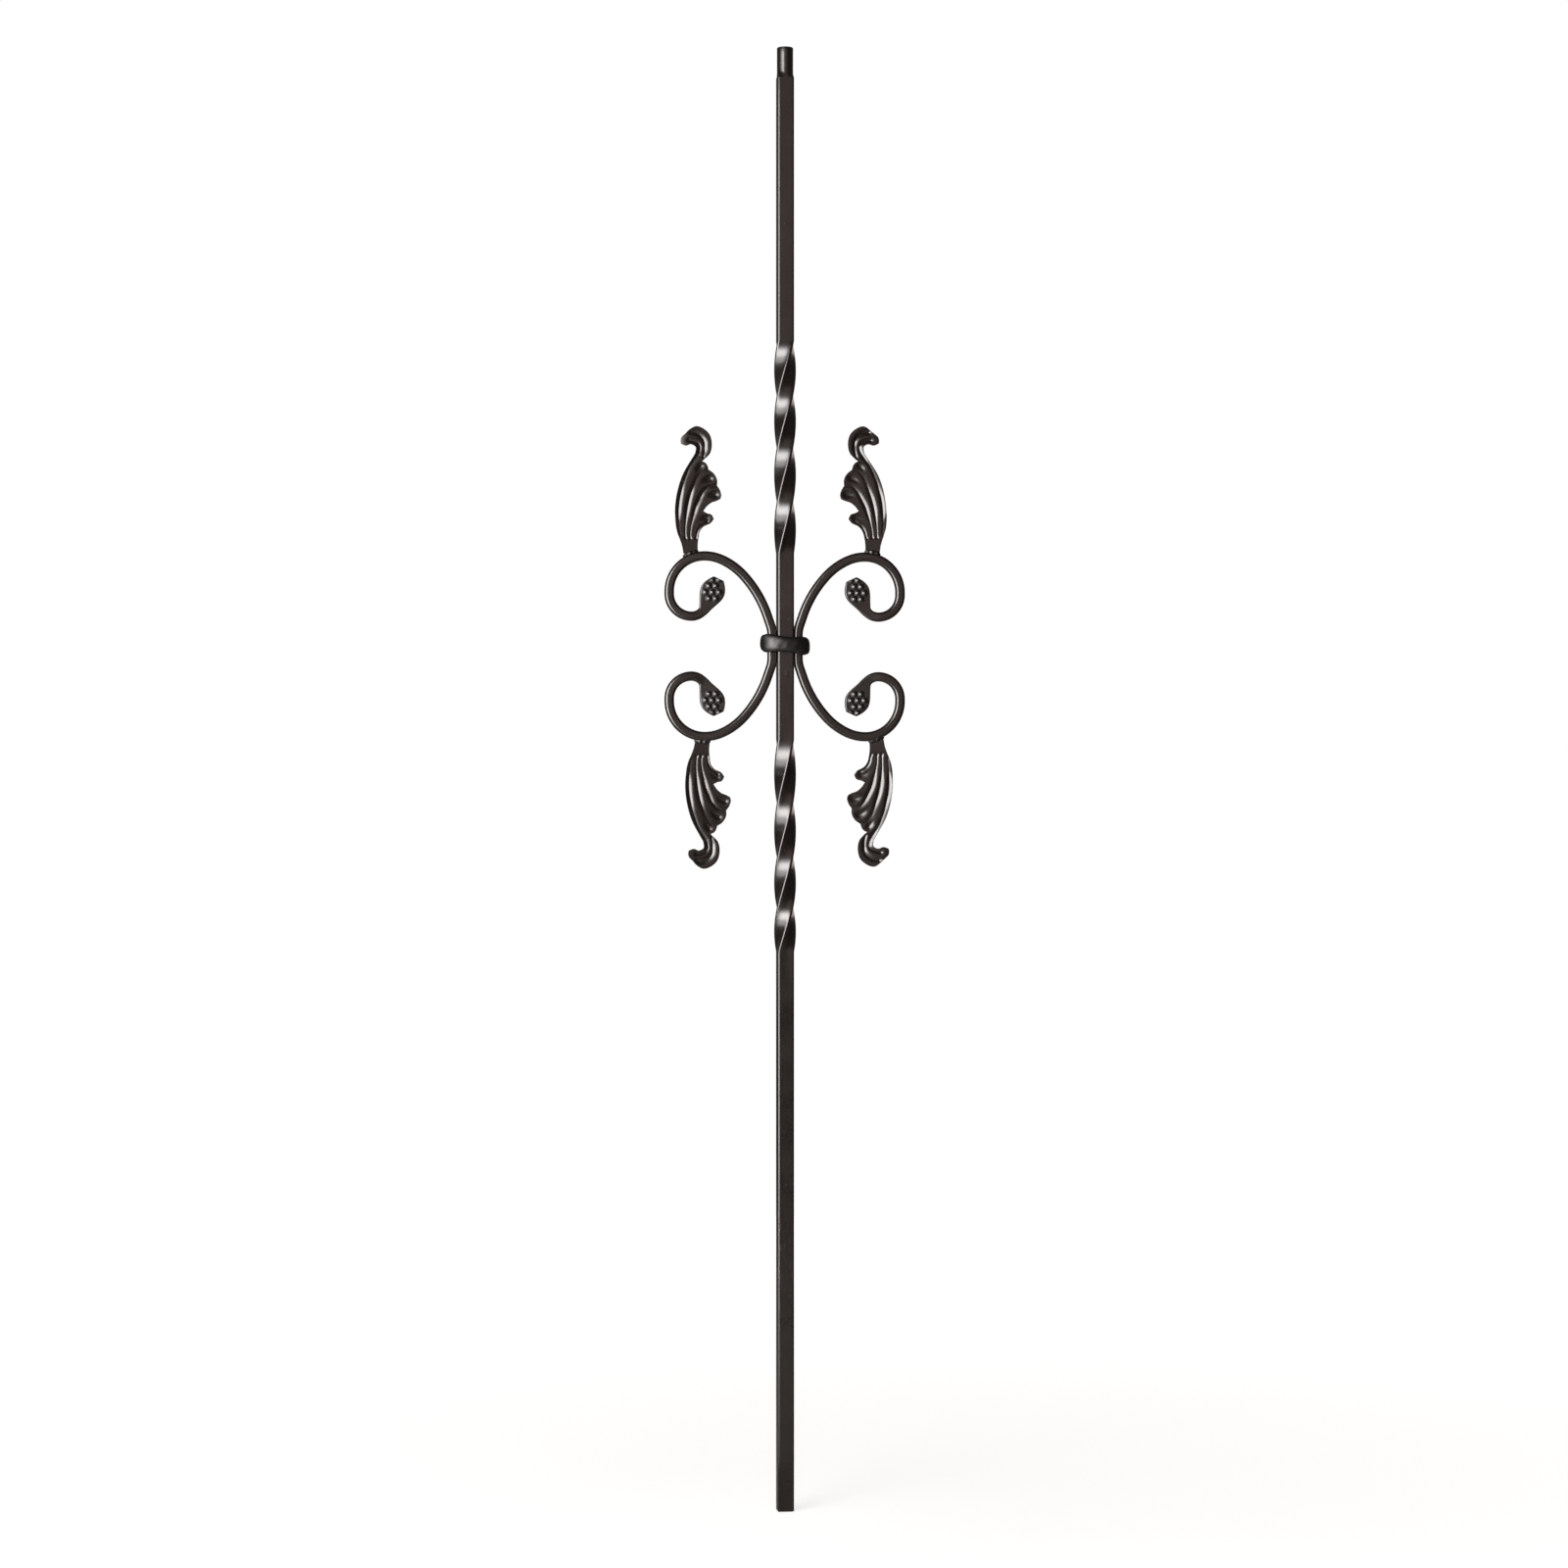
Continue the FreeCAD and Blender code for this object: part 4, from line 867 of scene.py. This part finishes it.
class SCENE_OT_baluster_stage(bpy.types.Operator):
    """Set up the floor, the lamps and the camera"""

    bl_idname = "scene.baluster_stage"
    bl_label = "Studio"

    def add_lamp(self, scene, name, watts):
        """A soft lamp that faces the bar."""
        degrees, distance, height, size, tint = LAMPS[name]
        azimuth = math.radians(degrees)
        lamp = bpy.data.lights.new(name, "AREA")
        lamp.color = tint
        lamp.shape = "RECTANGLE"
        lamp.size, lamp.size_y = size
        lamp.energy = watts
        place = bpy.data.objects.new(name, lamp)
        place.location = (distance * math.sin(azimuth), -distance * math.cos(azimuth), height)
        place.rotation_euler = (QUARTER_TURN, 0, azimuth)
        place.visible_camera = False
        scene.collection.objects.link(place)

    def add_camera(self, scene, stage):
        """The photograph's view: level, a little from the left."""
        camera = bpy.data.cameras.new("camera")
        camera.sensor_width = SENSOR
        camera.lens = SENSOR * stage.distance / stage.view_height
        camera.clip_end = 50
        eye = bpy.data.objects.new("camera", camera)
        right = Vector((math.cos(stage.azimuth), math.sin(stage.azimuth), 0))
        back = Vector((math.sin(stage.azimuth), -math.cos(stage.azimuth), 0))
        eye.location = back * stage.distance + right * stage.slide + Vector((0, 0, stage.aim))
        eye.rotation_euler = (QUARTER_TURN, 0, stage.azimuth)
        scene.collection.objects.link(eye)
        scene.camera = eye

    def add_world(self, scene):
        """White to the camera and through glass, a faint pale wall behind in reflections, dim elsewhere."""
        world = bpy.data.worlds.new("studio")
        scene.world = world
        world.use_nodes = True
        tree = world.node_tree
        tree.nodes.clear()
        ray = add_node(tree, "ShaderNodeLightPath")
        place = add_node(tree, "ShaderNodeTexCoord").outputs["Generated"]
        depth = add_node(tree, "ShaderNodeSeparateXYZ", {"Vector": place}).outputs["Y"]
        behind = add_node(tree, "ShaderNodeMapRange", {
            "Value": depth, "From Min": 0.2, "From Max": 0.7, "To Max": 0.03})
        seen = add_node(tree, "ShaderNodeMath", {
            0: ray.outputs["Is Glossy Ray"], 1: behind.outputs["Result"]}, operation="MULTIPLY")
        clear = add_node(tree, "ShaderNodeMath", {
            0: ray.outputs["Is Camera Ray"], 1: ray.outputs["Is Transmission Ray"]}, operation="MAXIMUM")
        white = add_node(tree, "ShaderNodeMath", {
            0: seen.outputs[0], 1: clear.outputs[0]}, operation="MAXIMUM")
        dim = add_node(tree, "ShaderNodeBackground", {"Color": (0.06, 0.052, 0.048, 1), "Strength": 1.0})
        pale = add_node(tree, "ShaderNodeBackground", {"Color": (1, 1, 1, 1), "Strength": 1.0})
        both = add_node(tree, "ShaderNodeMixShader", {
            0: white.outputs[0], 1: dim.outputs[0], 2: pale.outputs[0]})
        add_node(tree, "ShaderNodeOutputWorld", {"Surface": both.outputs[0]})

    def add_floor(self, scene, stage):
        """Flat grid under the bar in matt paint that glows white to the camera and keeps the shadow."""
        flat = np.linspace(-FLOOR_REACH, FLOOR_REACH, 9)
        spread = np.stack(np.meshgrid(flat, flat, [-FLOOR_SINK], indexing="ij"), axis=-1)[:, :, 0]
        floor = bpy.data.objects.new("floor", surface_mesh("floor", [spread]))
        paint = bpy.data.materials.new("matt_studio_paint")
        paint.use_nodes = True
        tree = paint.node_tree
        tree.nodes.clear()
        ray = add_node(tree, "ShaderNodeLightPath")
        matt = add_node(tree, "ShaderNodeBsdfDiffuse", {"Color": (*stage.floor, 1)})
        place = add_node(tree, "ShaderNodeTexCoord").outputs["Object"]
        away = add_node(tree, "ShaderNodeVectorMath", {0: place}, operation="LENGTH").outputs["Value"]
        glow = add_node(tree, "ShaderNodeMapRange", {
            "Value": away, "From Min": 0.2, "From Max": 1.5, "To Min": 0.82})
        part = add_node(tree, "ShaderNodeMath", {
            0: ray.outputs["Is Camera Ray"], 1: glow.outputs["Result"]}, operation="MULTIPLY")
        lit = add_node(tree, "ShaderNodeEmission", {"Color": (1, 1, 1, 1), "Strength": part.outputs[0]})
        both = add_node(tree, "ShaderNodeAddShader", {0: matt.outputs[0], 1: lit.outputs[0]})
        add_node(tree, "ShaderNodeOutputMaterial", {"Surface": both.outputs[0]})
        floor.data.materials.append(paint)
        scene.collection.objects.link(floor)

    def execute(self, context):
        scene = context.scene
        stage = scene.baluster.stage
        scene.view_settings.view_transform = "Standard"
        self.add_camera(scene, stage)
        self.add_world(scene)
        self.add_floor(scene, stage)
        for name in LAMPS:
            self.add_lamp(scene, name, getattr(stage, name))
        return {"FINISHED"}


class VIEW3D_PT_baluster(bpy.types.Panel):
    """Lists the baluster's pieces"""

    bl_label = "Baluster"
    bl_space_type = "VIEW_3D"
    bl_region_type = "UI"
    bl_category = "Baluster"

    def draw(self, context):
        for operator in OPERATORS:
            self.layout.operator(operator.bl_idname)


OPERATORS = (
    SCENE_OT_baluster_stage, OBJECT_OT_baluster_bar, OBJECT_OT_baluster_scrolls, OBJECT_OT_baluster_collar,
    OBJECT_OT_baluster_leaves, OBJECT_OT_baluster_welds,
)
CLASSES = (
    BarSettings, ScrollSettings, CollarSettings, LeafSettings, WeldSettings, CoatSettings, StageSettings,
    BalusterSettings, *OPERATORS, VIEW3D_PT_baluster,
)


def register():
    for item in CLASSES:
        bpy.utils.register_class(item)
    bpy.types.Scene.baluster = PointerProperty(type=BalusterSettings)


def unregister():
    del bpy.types.Scene.baluster
    for item in reversed(CLASSES):
        bpy.utils.unregister_class(item)


def main():
    register()
    bpy.ops.scene.baluster_stage()
    bpy.ops.object.baluster_bar()
    bpy.ops.object.baluster_scrolls()
    bpy.ops.object.baluster_collar()
    bpy.ops.object.baluster_leaves()
    bpy.ops.object.baluster_welds()


if __name__ == "__main__":
    main()
